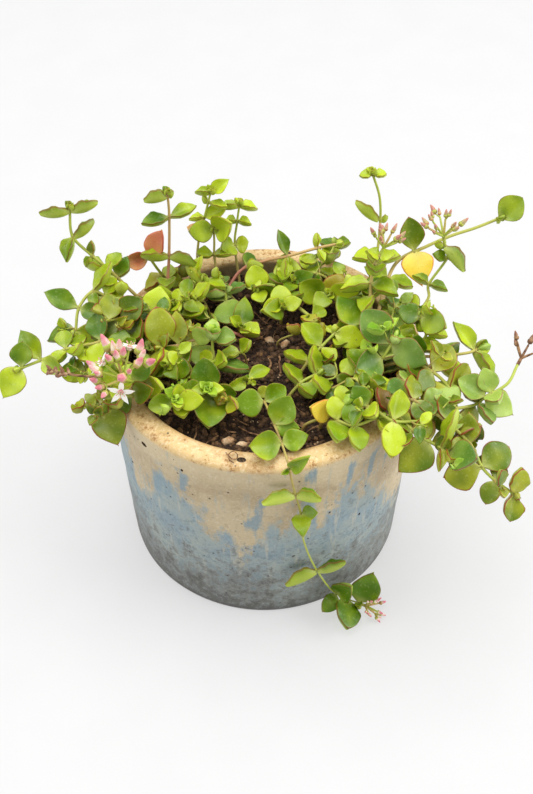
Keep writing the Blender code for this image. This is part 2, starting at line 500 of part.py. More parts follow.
def leaf_shape(leaf, grow=0.0):
    """A closed leaf: flat above, keeled below, widest below the middle, pointed."""
    axis, normal = leaf["axis"], leaf["normal"]
    across = normal.cross(axis)
    length = leaf["length"] + grow
    width = leaf["width"] * 0.5 + grow
    verts = []
    for share, wide, deep in LEAF_STATIONS:
        half = width * wide if share else leaf["root"] + grow
        middle = leaf["base"] + axis * (share * (length - LEAF_ROOT_OFFSET) + LEAF_ROOT_OFFSET)
        middle += normal * (leaf["curl"] * length * math.sin(share * 4.0) + grow)
        verts.append(middle - across * half)
        verts.append(middle - normal * (leaf["thick"] * deep + grow * 2))
        verts.append(middle + across * half)
    tip = leaf["base"] + axis * length
    verts.append(tip + normal * leaf["curl"] * length * math.sin(4.0))
    faces = [(2, 1, 0)]
    for k in range(len(LEAF_STATIONS) - 1):
        for j in range(3):
            a = k * 3 + j
            b = k * 3 + (j + 1) % 3
            faces.append((a, b, b + 3, a + 3))
    last = (len(LEAF_STATIONS) - 1) * 3
    for j in range(3):
        faces.append((last + j, last + (j + 1) % 3, len(verts) - 1))
    return verts, faces


def bud_shape(centre, axis, length, width):
    """A closed bud or petal: two four-sided points back to back."""
    side = axis.orthogonal().normalized()
    other = axis.cross(side)
    verts = [centre - axis * length * 0.5]
    for turn in (side, other, -side, -other):
        verts.append(centre - axis * length * 0.08 + turn * width * 0.5)
    verts.append(centre + axis * length * 0.5)
    faces = []
    for k in range(4):
        nxt = (k + 1) % 4
        faces.append((0, 1 + nxt, 1 + k))
        faces.append((1 + k, 1 + nxt, 5))
    return verts, faces


def tree_of(shape):
    return BVHTree.FromPolygons(shape[0], shape[1])


def box_of(verts):
    low = Vector(min(v[k] for v in verts) for k in range(3))
    high = Vector(max(v[k] for v in verts) for k in range(3))
    return low, high


def boxes_meet(a, b):
    return all(a[0][k] <= b[1][k] and b[0][k] <= a[1][k] for k in range(3))


SOIL_SURFACE = tree_of(soil_shape())


class Crowd:
    """Everything placed so far, so that new pieces are kept clear of it."""

    def __init__(self):
        self.members = []

    def add(self, owner, shape):
        self.members.append((owner, box_of(shape[0]), tree_of(shape)))

    def is_clear(self, owner, shape, passing=""):
        box = box_of(shape[0])
        others = [m for m in self.members if m[0] not in (owner, passing)]
        near = [m for m in others if boxes_meet(box, m[1])]
        if not near:
            return True
        tree = tree_of(shape)
        return not any(tree.overlap(m[2]) for m in near)


def in_open_air(verts):
    """True where every point is off the floor and outside the pot and the soil."""
    for vert in verts:
        radius = math.hypot(vert.x, vert.y)
        if vert.z < CLEARANCE:
            return False
        if vert.z > POT_HEIGHT + CLEARANCE:
            continue
        if radius > wall_radius(vert.z) + CLEARANCE:
            continue
        over_soil = vert.z > soil_height(vert.x, vert.y) + CLEARANCE
        if radius < well_radius(vert.z) - CLEARANCE and over_soil:
            continue
        return False
    return True


def free_root(wanted, taken):
    """The place nearest to the wanted one that keeps clear of the others."""
    for step in range(400):
        reach = 0.35 * math.sqrt(step)
        turn = step * 2.4
        x = wanted[0] + reach * math.cos(turn)
        y = wanted[1] + reach * math.sin(turn)
        inside = math.hypot(x, y) <= ROOT_LIMIT
        apart = all(math.hypot(x - a, y - b) >= ROOT_SPACING for a, b in taken)
        off_chips = all(math.hypot(x - a, y - b) >= s * 0.6 + 2.2 for a, b, s in CHIPS)
        if inside and apart and off_chips:
            taken.append((x, y))
            return x, y
    raise ValueError("no room for a root")


def stem_route(root, route):
    """Control points from the bottom of the soil hole to the tip."""
    top = soil_height(*root)
    foot = Vector((root[0], root[1], top - HOLE_DEPTH + GAP))
    collar = Vector((root[0], root[1], top + STEM_COLLAR - 1.5))
    return [foot, collar] + [Vector(p) for p in route]


def stem_line(points, radius, tip_radius):
    """Points and radii along a stem, closer together where it is short."""
    line = []
    radii = []
    last = len(points) - 1
    for k in range(last):
        span = (points[k + 1] - points[k]).length
        pieces = max(1, round(span / STEM_RING_SPACING))
        for j in range(pieces):
            line.append(lengthwise(points, k + j / pieces)[0])
    end, heading = lengthwise(points, last)
    line.append(end)
    line.append(end + heading * TIP_OVERRUN)
    for k in range(len(line)):
        share = k / (len(line) - 1)
        radii.append(radius + (tip_radius - radius) * share)
    radii[-1] = tip_radius * 0.6
    return line, radii


def settle_stem(stem, crowd, draw):
    """Bends a route a little until its tube is clear of all that is placed."""
    for attempt in range(80):
        reach = 0.09 * attempt
        points = [p.copy() for p in stem["points"]]
        for k in range(2, len(points)):
            ease = 0.5 if k == len(points) - 1 else 1.0
            shift = Vector([draw.uniform(-1, 1) for _ in range(3)]) * reach * ease
            points[k] += shift
        line, radii = stem_line(points, stem["radius"], stem["radius"] * 0.8)
        first = next(k for k, p in enumerate(line) if p.z > points[1].z - 0.1)
        shape = tube_shape(line, radii, STEM_SIDES, CLEARANCE)
        bare = tube_shape(line[first:], radii[first:], STEM_SIDES, CLEARANCE)
        clear = crowd.is_clear(stem["name"], shape, "soil")
        if clear and in_open_air(bare[0]) and crowd.is_clear(stem["name"], bare):
            stem["points"], stem["line"], stem["radii"] = points, line, radii
            return True
    return False


def leaf_record(stem, pair, side, draw):
    """A leaf of a pair, from its place, aim and lean, and the way it faces."""
    place, lengths, aims, lean, face, width = pair
    point, heading = lengthwise(stem["points"], place + 1)
    aim = Vector(aims[side]).normalized()
    across = aim - heading * aim.dot(heading)
    if across.length < 0.2:
        across = heading.orthogonal()
    mixed = across.normalized() * 0.35 + aim * 0.65
    axis = (mixed.normalized() + heading * math.tan(math.radians(lean))).normalized()
    light = Vector(face) if face else heading * 0.45 + Vector((0, -0.3, 0.85))
    normal = light - axis * light.dot(axis)
    if normal.length < 0.15:
        normal = axis.orthogonal()
    length = lengths[side]
    return {
        "base": point,
        "axis": axis,
        "normal": normal.normalized(),
        "length": length,
        "width": length * width * draw.uniform(0.93, 1.07),
        "thick": LEAF_THICKNESS if length > 8.5 else 1.1,
        "root": stem["radius"] * 0.5,
        "cup": draw.uniform(0.05, 0.28),
        "curl": draw.uniform(-0.02, 0.06),
    }


def turned_leaf(leaf, swing, roll, size):
    """The same leaf swung about its base, rolled about its axis and resized."""
    swung = Matrix.Rotation(math.radians(swing), 3, leaf["normal"])
    axis = swung @ leaf["axis"]
    rolled = Matrix.Rotation(math.radians(roll), 3, axis)
    fresh = dict(leaf)
    fresh["axis"] = axis
    fresh["normal"] = rolled @ leaf["normal"]
    fresh["length"] = leaf["length"] * size
    fresh["width"] = leaf["width"] * size
    return fresh


def lifted_leaf(leaf, lift):
    """The same leaf raised or lowered at its tip."""
    across = leaf["normal"].cross(leaf["axis"])
    spin = Matrix.Rotation(math.radians(-lift), 3, across)
    fresh = dict(leaf)
    fresh["axis"] = spin @ leaf["axis"]
    fresh["normal"] = spin @ leaf["normal"]
    return fresh


def leaf_trials(leaf):
    """The leaf as drawn, then turned further and further from it."""
    for size in (1.0, 0.9, 0.78):
        for lift in (0, 14, -14, 28, -28, 42):
            for swing in (0, 14, -14, 28, -28):
                for roll in (0, 25, -25):
                    yield turned_leaf(lifted_leaf(leaf, lift), swing, roll, size)


def settle_leaf(stem, leaf, crowd):
    """The first trial of a leaf that is clear of every other piece."""
    for trial in leaf_trials(leaf):
        shape = leaf_shape(trial, CLEARANCE)
        if in_open_air(shape[0][3:]) and crowd.is_clear(stem["name"], shape):
            return trial
    return None


def wanted_leaves(stem, draw):
    """Every leaf that a stem's pairs ask for."""
    leaves = []
    for pair in stem["pairs"]:
        usual = (UPWARD, LEAF_WIDTH) if len(pair) == 4 else ()
        place, lengths, aims, lean, face, width = (*pair, *usual)
        if isinstance(aims[0], (int, float)):
            aims = (aims, tuple(-c for c in aims))
        pair = (place, lengths, aims, lean, face, width)
        leaves += [leaf_record(stem, pair, side, draw) for side in (0, 1)]
    return leaves


def grow_leaves(stems, crowd, draw):
    """Sets every leaf, the longest first, and leaves out what finds no room."""
    wanted = []
    for stem in stems:
        wanted += [(leaf["length"], stem, leaf) for leaf in wanted_leaves(stem, draw)]
    wanted.sort(key=lambda item: -item[0])
    for _, stem, leaf in wanted:
        settled = settle_leaf(stem, leaf, crowd)
        if settled:
            stem["leaves"].append(settled)
            crowd.add(stem["name"], leaf_shape(settled))


def head_record(head, stems, crowd, draw):
    """A flower head: short stalks that spread from the tip, each with a bud."""
    name, colour, carrier, buds, spread, reach, stars = head
    stem = next(s for s in stems if s["name"] == carrier)
    tip, heading = stem["line"][-1], (stem["line"][-1] - stem["line"][-2]).normalized()
    aim = (heading + Vector((0, 0, 0.8))).normalized()
    side = aim.orthogonal().normalized()
    other = aim.cross(side)
    base = tip + heading * GAP
    twigs = []
    for k in range(buds):
        share = math.sqrt((k + 0.4) / buds)
        tilt = math.radians(spread) * share
        turn = k * 2.4 + draw.uniform(-0.2, 0.2)
        fan = side * math.cos(turn) + other * math.sin(turn)
        axis = (aim * math.cos(tilt) + fan * math.sin(tilt)).normalized()
        kind = "star" if k >= buds - stars else "bud"
        twigs.append({"axis": axis, "reach": reach * draw.uniform(0.75, 1.1), "kind": kind,
                      "base": base + heading * HEAD_CORE})
    record = {"name": name, "colour": colour, "base": base, "heading": heading, "twigs": []}
    for twig in twigs:
        if twig_clear(name, twig, crowd):
            record["twigs"].append(twig)
            for shape in twig_shapes(twig, 0.0):
                crowd.add(name, shape)
    return record


def twig_shapes(twig, grow):
    """The stalk and the bud or star at the end of one twig."""
    end = twig["base"] + twig["axis"] * twig["reach"]
    start = twig["base"] + twig["axis"] * (HEAD_CORE * 0.5)
    shapes = [tube_shape([start, end], [TWIG_RADIUS, TWIG_RADIUS], 3, grow)]
    if twig["kind"] == "bud":
        centre = end + twig["axis"] * BUD_LENGTH * 0.3
        shapes.append(bud_shape(centre, twig["axis"], BUD_LENGTH + grow * 2, BUD_WIDTH + grow * 2))
        return shapes
    shapes.append(bud_shape(end, twig["axis"], 2.4 + grow * 2, 1.9 + grow * 2))
    side = twig["axis"].orthogonal().normalized()
    other = twig["axis"].cross(side)
    for k in range(5):
        turn = 2 * math.pi * k / 5
        out = (side * math.cos(turn) + other * math.sin(turn)) + twig["axis"] * 0.35
        axis = out.normalized()
        centre = end + axis * (PETAL_LENGTH * 0.5 + 0.3)
        shapes.append(bud_shape(centre, axis, PETAL_LENGTH + grow * 2, PETAL_WIDTH + grow * 2))
    return shapes


def twig_clear(name, twig, crowd):
    shapes = twig_shapes(twig, CLEARANCE)
    return all(in_open_air(s[0]) and crowd.is_clear(name, s) for s in shapes)


def filler_stem(number, middle, lean, draw):
    """A short leafy stem for a gap, from a rule and seeded draws."""
    x, y = middle
    route = []
    height = SOIL_TOP + STEM_COLLAR
    for k in range(3):
        x += lean[0] * 5 + draw.uniform(-1.5, 1.5)
        y += lean[1] * 5 + draw.uniform(-1.5, 1.5)
        height += draw.uniform(2.5, 4.0)
        route.append((x, y, height))
    pairs = []
    turn = draw.uniform(0, math.pi)
    for k, length in enumerate((9, 10, 7)):
        aim = (math.cos(turn), math.sin(turn), 0.15)
        pairs.append((k + 1, (length, length), aim, 15))
        turn += math.pi / 2
    return ("filler_%d" % (number + 1), "green", 0.95, middle, route, pairs)


def plan_plant():
    """All stems, leaves and heads, each kept clear of the others."""
    draw = random.Random(SEED)
    crowd = Crowd()
    crowd.add("pot", pot_shape())
    crowd.add("soil", soil_shape())
    for k in range(len(CHIPS)):
        crowd.add("soil", chip_shape(k))
    table = list(STEMS)
    table += [filler_stem(k, *filler, draw) for k, filler in enumerate(FILLERS)]
    taken = []
    stems = []
    for name, colour, radius, root, route, pairs in table:
        root = free_root(root, taken)
        stem = {"name": name, "colour": colour, "radius": radius, "root": root, "leaves": []}
        stem["points"] = stem_route(root, route)
        stem["pairs"] = pairs
        stems.append(stem)
    radius, root, route = DRY_STALK
    dry = {"name": "dry_stalk", "colour": "dry", "radius": radius, "leaves": [], "pairs": []}
    dry["root"] = free_root(root, taken)
    dry["points"] = stem_route(dry["root"], route)
    stems.append(dry)
    for stem in stems:
        if not settle_stem(stem, crowd, draw):
            raise ValueError("no clear route for " + stem["name"])
        crowd.add(stem["name"], tube_shape(stem["line"], stem["radii"], STEM_SIDES))
    heads = [head_record(head, stems, crowd, draw) for head in HEADS]
    grow_leaves(stems, crowd, draw)
    return stems, heads


def chip_shape(number):
    """One pumice chip: a lumpy six-faced stone, half sunk in the soil."""
    x, y, size = CHIPS[number]
    draw = random.Random(SEED + 100 + number)
    centre = Vector((x, y, soil_height(x, y) - size * 0.05))
    verts = []
    spin = draw.uniform(0, math.pi)
    for level, reach in ((-0.3, 0.6), (0.42, 0.36)):
        for k in range(4):
            turn = spin + math.pi / 2 * k + level
            wide = size * reach * draw.uniform(0.85, 1.15)
            verts.append(centre + Vector((wide * math.cos(turn), wide * math.sin(turn),
                                          size * level)))
    faces = [(3, 2, 1, 0), (4, 5, 6, 7)]
    for k in range(4):
        nxt = (k + 1) % 4
        faces.append((k, nxt, nxt + 4, k + 4))
    return verts, faces


def hole_shape(stem):
    """The plain hole that a stem stands in."""
    x, y = stem["root"]
    top = soil_height(x, y)
    radius = (stem["radius"] + HOLE_CLEARANCE) / math.cos(math.pi / HOLE_SIDES)
    points = [Vector((x, y, top - HOLE_DEPTH)), Vector((x, y, top + 4.0))]
    return tube_shape(points, [radius, radius], HOLE_SIDES)


def make_material(name, colour):
    material = bpy.data.materials.new(name)
    material.use_nodes = True
    shader = material.node_tree.nodes["Principled BSDF"]
    shader.inputs["Base Color"].default_value = (*COLOURS[colour], 1.0)
    shader.inputs["Roughness"].default_value = ROUGHNESS.get(colour, 0.45)
    shader.inputs["Metallic"].default_value = 0.0
    return material


def in_triangles(faces):
    """The same faces as fans of triangles, which stay flat in a Boolean."""
    return [(f[0], f[k], f[k + 1]) for f in faces for k in range(1, len(f) - 1)]


def make_object(name, shape, colour=None):
    """A mesh object in metres from a shape in millimetres."""
    mesh = bpy.data.meshes.new(name)
    mesh.from_pydata([v * MM for v in shape[0]], [], in_triangles(shape[1]))
    mesh.update()
    obj = bpy.data.objects.new(name, mesh)
    bpy.context.scene.collection.objects.link(obj)
    if colour:
        mesh.materials.append(make_material(name, colour))
    return obj


def in_one_piece(work):
    """True where every face can be reached from the first."""
    work.faces.ensure_lookup_table()
    reached = {work.faces[0]}
    edge_of_search = [work.faces[0]]
    while edge_of_search:
        face = edge_of_search.pop()
        for edge in face.edges:
            for other in edge.link_faces:
                if other not in reached:
                    reached.add(other)
                    edge_of_search.append(other)
    return len(reached) == len(work.faces)


def is_sound(work, volume):
    """True for one closed surface that nowhere crosses itself and kept its volume."""
    if any(len(edge.link_faces) != 2 for edge in work.edges) or not in_one_piece(work):
        return False
    if abs(work.calc_volume(signed=True) - volume) > volume * 0.03:
        return False
    work.verts.index_update()
    tree = BVHTree.FromBMesh(work)
    for one, two in tree.overlap(tree):
        first = {vert.index for vert in work.faces[one].verts}
        if one < two and not first & {vert.index for vert in work.faces[two].verts}:
            return False
    return True


def closed_up(whole, length, flat):
    """A copy with its shortest edges closed up and, if asked, flat parts merged."""
    work = whole.copy()
    if flat:
        bmesh.ops.dissolve_limit(work, angle_limit=math.radians(0.5), use_dissolve_boundaries=False,
                                 verts=work.verts, edges=work.edges)
    if length > 0.0:
        bmesh.ops.dissolve_degenerate(work, dist=length * MM, edges=work.edges)
    bmesh.ops.triangulate(work, faces=work.faces)
    return work


def simplified(mesh):
    """Leaves the mesh with as few facets as keep its surface sound."""
    whole = bmesh.new()
    whole.from_mesh(mesh)
    volume = whole.calc_volume(signed=True)
    fewest = 0
    for length in SHORT_EDGES:
        for flat in (True, False):
            work = closed_up(whole, length, flat)
            fewer = not fewest or len(work.faces) < fewest
            if fewer and volume > 0.0 and is_sound(work, volume):
                fewest = len(work.faces)
                work.to_mesh(mesh)
            work.free()
    whole.free()
    mesh.update()
    return fewest > 0


def combine(obj, shapes, operation):
    """Joins shapes to an object, or cuts them from it; False where that fails."""
    tools = bpy.data.collections.new(obj.name + "_tools")
    bpy.context.scene.collection.children.link(tools)
    for k, shape in enumerate(shapes):
        tool = make_object("%s_tool_%d" % (obj.name, k), shape)
        bpy.context.scene.collection.objects.unlink(tool)
        tools.objects.link(tool)
        tool.hide_render = True
        tool.display_type = "WIRE"
    sound = any(combined_by(solver, obj, tools, operation) for solver in SOLVERS)
    for tool in list(tools.objects):
        bpy.data.objects.remove(tool)
    bpy.data.collections.remove(tools)
    return sound


def combined_by(solver, obj, tools, operation):
    """Applies one Boolean to an object, if its result is sound."""
    step = obj.modifiers.new("Combine", "BOOLEAN")
    step.operation = operation
    step.operand_type = "COLLECTION"
    step.collection = tools
    step.solver = solver
    graph = bpy.context.evaluated_depsgraph_get()
    result = bpy.data.meshes.new_from_object(obj.evaluated_get(graph))
    obj.modifiers.remove(step)
    if not simplified(result):
        bpy.data.meshes.remove(result)
        return False
    old = obj.data
    obj.data = result
    bpy.data.meshes.remove(old)
    return True


def combine_nudged(obj, make_shapes, records):
    """Joins shapes made from records, each nudged a little more where it fails."""
    for attempt in range(NUDGES):
        draw = random.Random(SEED + attempt)
        moved = []
        for record in records:
            shift = [draw.uniform(-1, 1) * NUDGE * attempt for _ in range(3)]
            moved.append({**record, "base": record["base"] + Vector(shift)})
        if combine(obj, [shape for record in moved for shape in make_shapes(record)], "UNION"):
            return
    raise ValueError("no sound join for " + obj.name)


def seat(obj, origin, parent):
    """Moves an object's origin, leaving its surface where it is, and parents it."""
    place = Vector(origin) * MM
    obj.data.transform(Matrix.Translation(-place))
    obj.location = place
    obj.parent = parent


def build_pot():
    pot = make_object("pot", pot_shape(), "pot")
    pot.data.shade_smooth()
    pot.data.set_sharp_from_angle(angle=math.radians(35))
    return pot


def build_soil(stems):
    soil = make_object("soil", soil_shape(), "soil")
    combine(soil, [chip_shape(k) for k in range(len(CHIPS))], "UNION")
    combine(soil, [hole_shape(stem) for stem in stems], "DIFFERENCE")
    return soil


def build_stem(stem):
    shape = tube_shape(stem["line"], stem["radii"], STEM_SIDES)
    obj = make_object("stem_" + stem["name"], shape, stem["colour"])
    if stem["leaves"]:
        combine_nudged(obj, lambda leaf: [leaf_shape(leaf)], stem["leaves"])
    return obj


def build_head(head):
    middle = head["base"] + head["heading"] * HEAD_CORE
    core = bud_shape(middle, head["heading"], HEAD_CORE * 2, HEAD_CORE * 2.2)
    obj = make_object(head["name"], core, head["colour"])
    combine_nudged(obj, lambda twig: twig_shapes(twig, 0.0), head["twigs"])
    return obj


def main():
    for obj in list(bpy.data.objects):
        bpy.data.objects.remove(obj, do_unlink=True)
    stems, heads = plan_plant()
    whole = bpy.data.objects.new("potted_jade", None)
    bpy.context.scene.collection.objects.link(whole)
    seat(build_pot(), (0, 0, 0), whole)
    seat(build_soil(stems), (0, 0, POT_FLOOR + GAP), whole)
    for stem in stems:
        seat(build_stem(stem), (*stem["root"], SOIL_TOP), whole)
    for head in heads:
        seat(build_head(head), head["base"], whole)


main()
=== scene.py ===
"""Finished pieces of the trailing jade in its stoneware pot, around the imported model.

The plan of the plant is the one that the model was built from, so every leaf,
stem and bud here grows where its solid is. It works in millimetres, +Z up, +Y
away from the front view, origin at the centre of the pot's underside.
"""

import random
from math import atan2, cos, degrees, exp, hypot, pi, radians, sin, sqrt, tan

import bmesh
import bpy
from mathutils import Matrix, Quaternion, Vector
from mathutils.bvhtree import BVHTree


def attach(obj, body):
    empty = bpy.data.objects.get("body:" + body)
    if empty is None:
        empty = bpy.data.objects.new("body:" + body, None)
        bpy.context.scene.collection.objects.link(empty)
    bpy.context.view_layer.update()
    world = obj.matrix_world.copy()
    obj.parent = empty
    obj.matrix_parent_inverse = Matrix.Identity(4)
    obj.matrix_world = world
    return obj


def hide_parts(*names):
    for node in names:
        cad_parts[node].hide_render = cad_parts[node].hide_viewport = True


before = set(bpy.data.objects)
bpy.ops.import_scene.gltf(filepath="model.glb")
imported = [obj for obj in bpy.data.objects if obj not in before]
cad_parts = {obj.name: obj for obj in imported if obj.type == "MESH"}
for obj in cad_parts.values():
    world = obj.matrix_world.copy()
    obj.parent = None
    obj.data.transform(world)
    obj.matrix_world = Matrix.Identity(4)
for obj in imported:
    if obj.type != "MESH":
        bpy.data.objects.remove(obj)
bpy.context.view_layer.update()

MM = 0.001

# Pot
POT_HEIGHT = 94.0
POT_TOP_RADIUS = 60.0
POT_FOOT_RADIUS = 55.9
POT_MOUTH_RADIUS = 51.3
POT_WELL_RADIUS = 46.5
POT_FLOOR = 9.0
POT_SIDES = 48

# Soil
SOIL_TOP = 87.0
SOIL_BUMP = 1.0
SOIL_SIDES = 24
SOIL_RINGS = (14.0, 28.0, 41.0)
GAP = 0.3
ROOT_LIMIT = 46.5
ROOT_SPACING = 4.6
HOLE_DEPTH = 5.0

# Plant
STEM_SIDES = 5
STEM_RING_SPACING = 9.0
STEM_COLLAR = 4.5
LEAF_THICKNESS = 1.5
LEAF_WIDTH = 0.85
LEAF_ROOT_OFFSET = 0.4

# A leaf's cross-sections: share of the length, of the width and of the thickness
LEAF_STATIONS = ((0.0, 0.0, 0.6), (0.36, 1.0, 1.0), (0.75, 0.78, 0.8))
CLEARANCE = 0.36
TIP_OVERRUN = 1.2
SEED = 41

# Trials and steps of a search for a free root and for a clear route
ROOT_TRIALS = 400
ROOT_STEP = 0.35
ROUTE_TRIALS = 80
ROUTE_STEP = 0.09
# Turn from one point of a spiral to the next
SPIRAL_TURN = 2.4

# Directions that a pair of leaves opens in
SIDE = (1, 0, 0)
FRONT = (0, 1, 0)
SLANT = (1, 1, 0)
CROSS = (1, -1, 0)

# Ways that blades face: to the sky, to the front view, or edge-on to it
UPWARD = None
VIEWED = (0, -0.7, 0.7)
EDGE_ON = (0, 0.55, 0.8)

# Cream pumice chips in the soil: x, y and size
CHIPS = (
    (-13, -41, 4.4), (-8, -43, 4.0), (2, 11, 3.6), (8, 8, 4.2), (0, 42, 3.4), (20, 2, 3.0),
    (24, -19, 4.0), (-24, 16, 3.2), (-3, -8, 3.0),
)

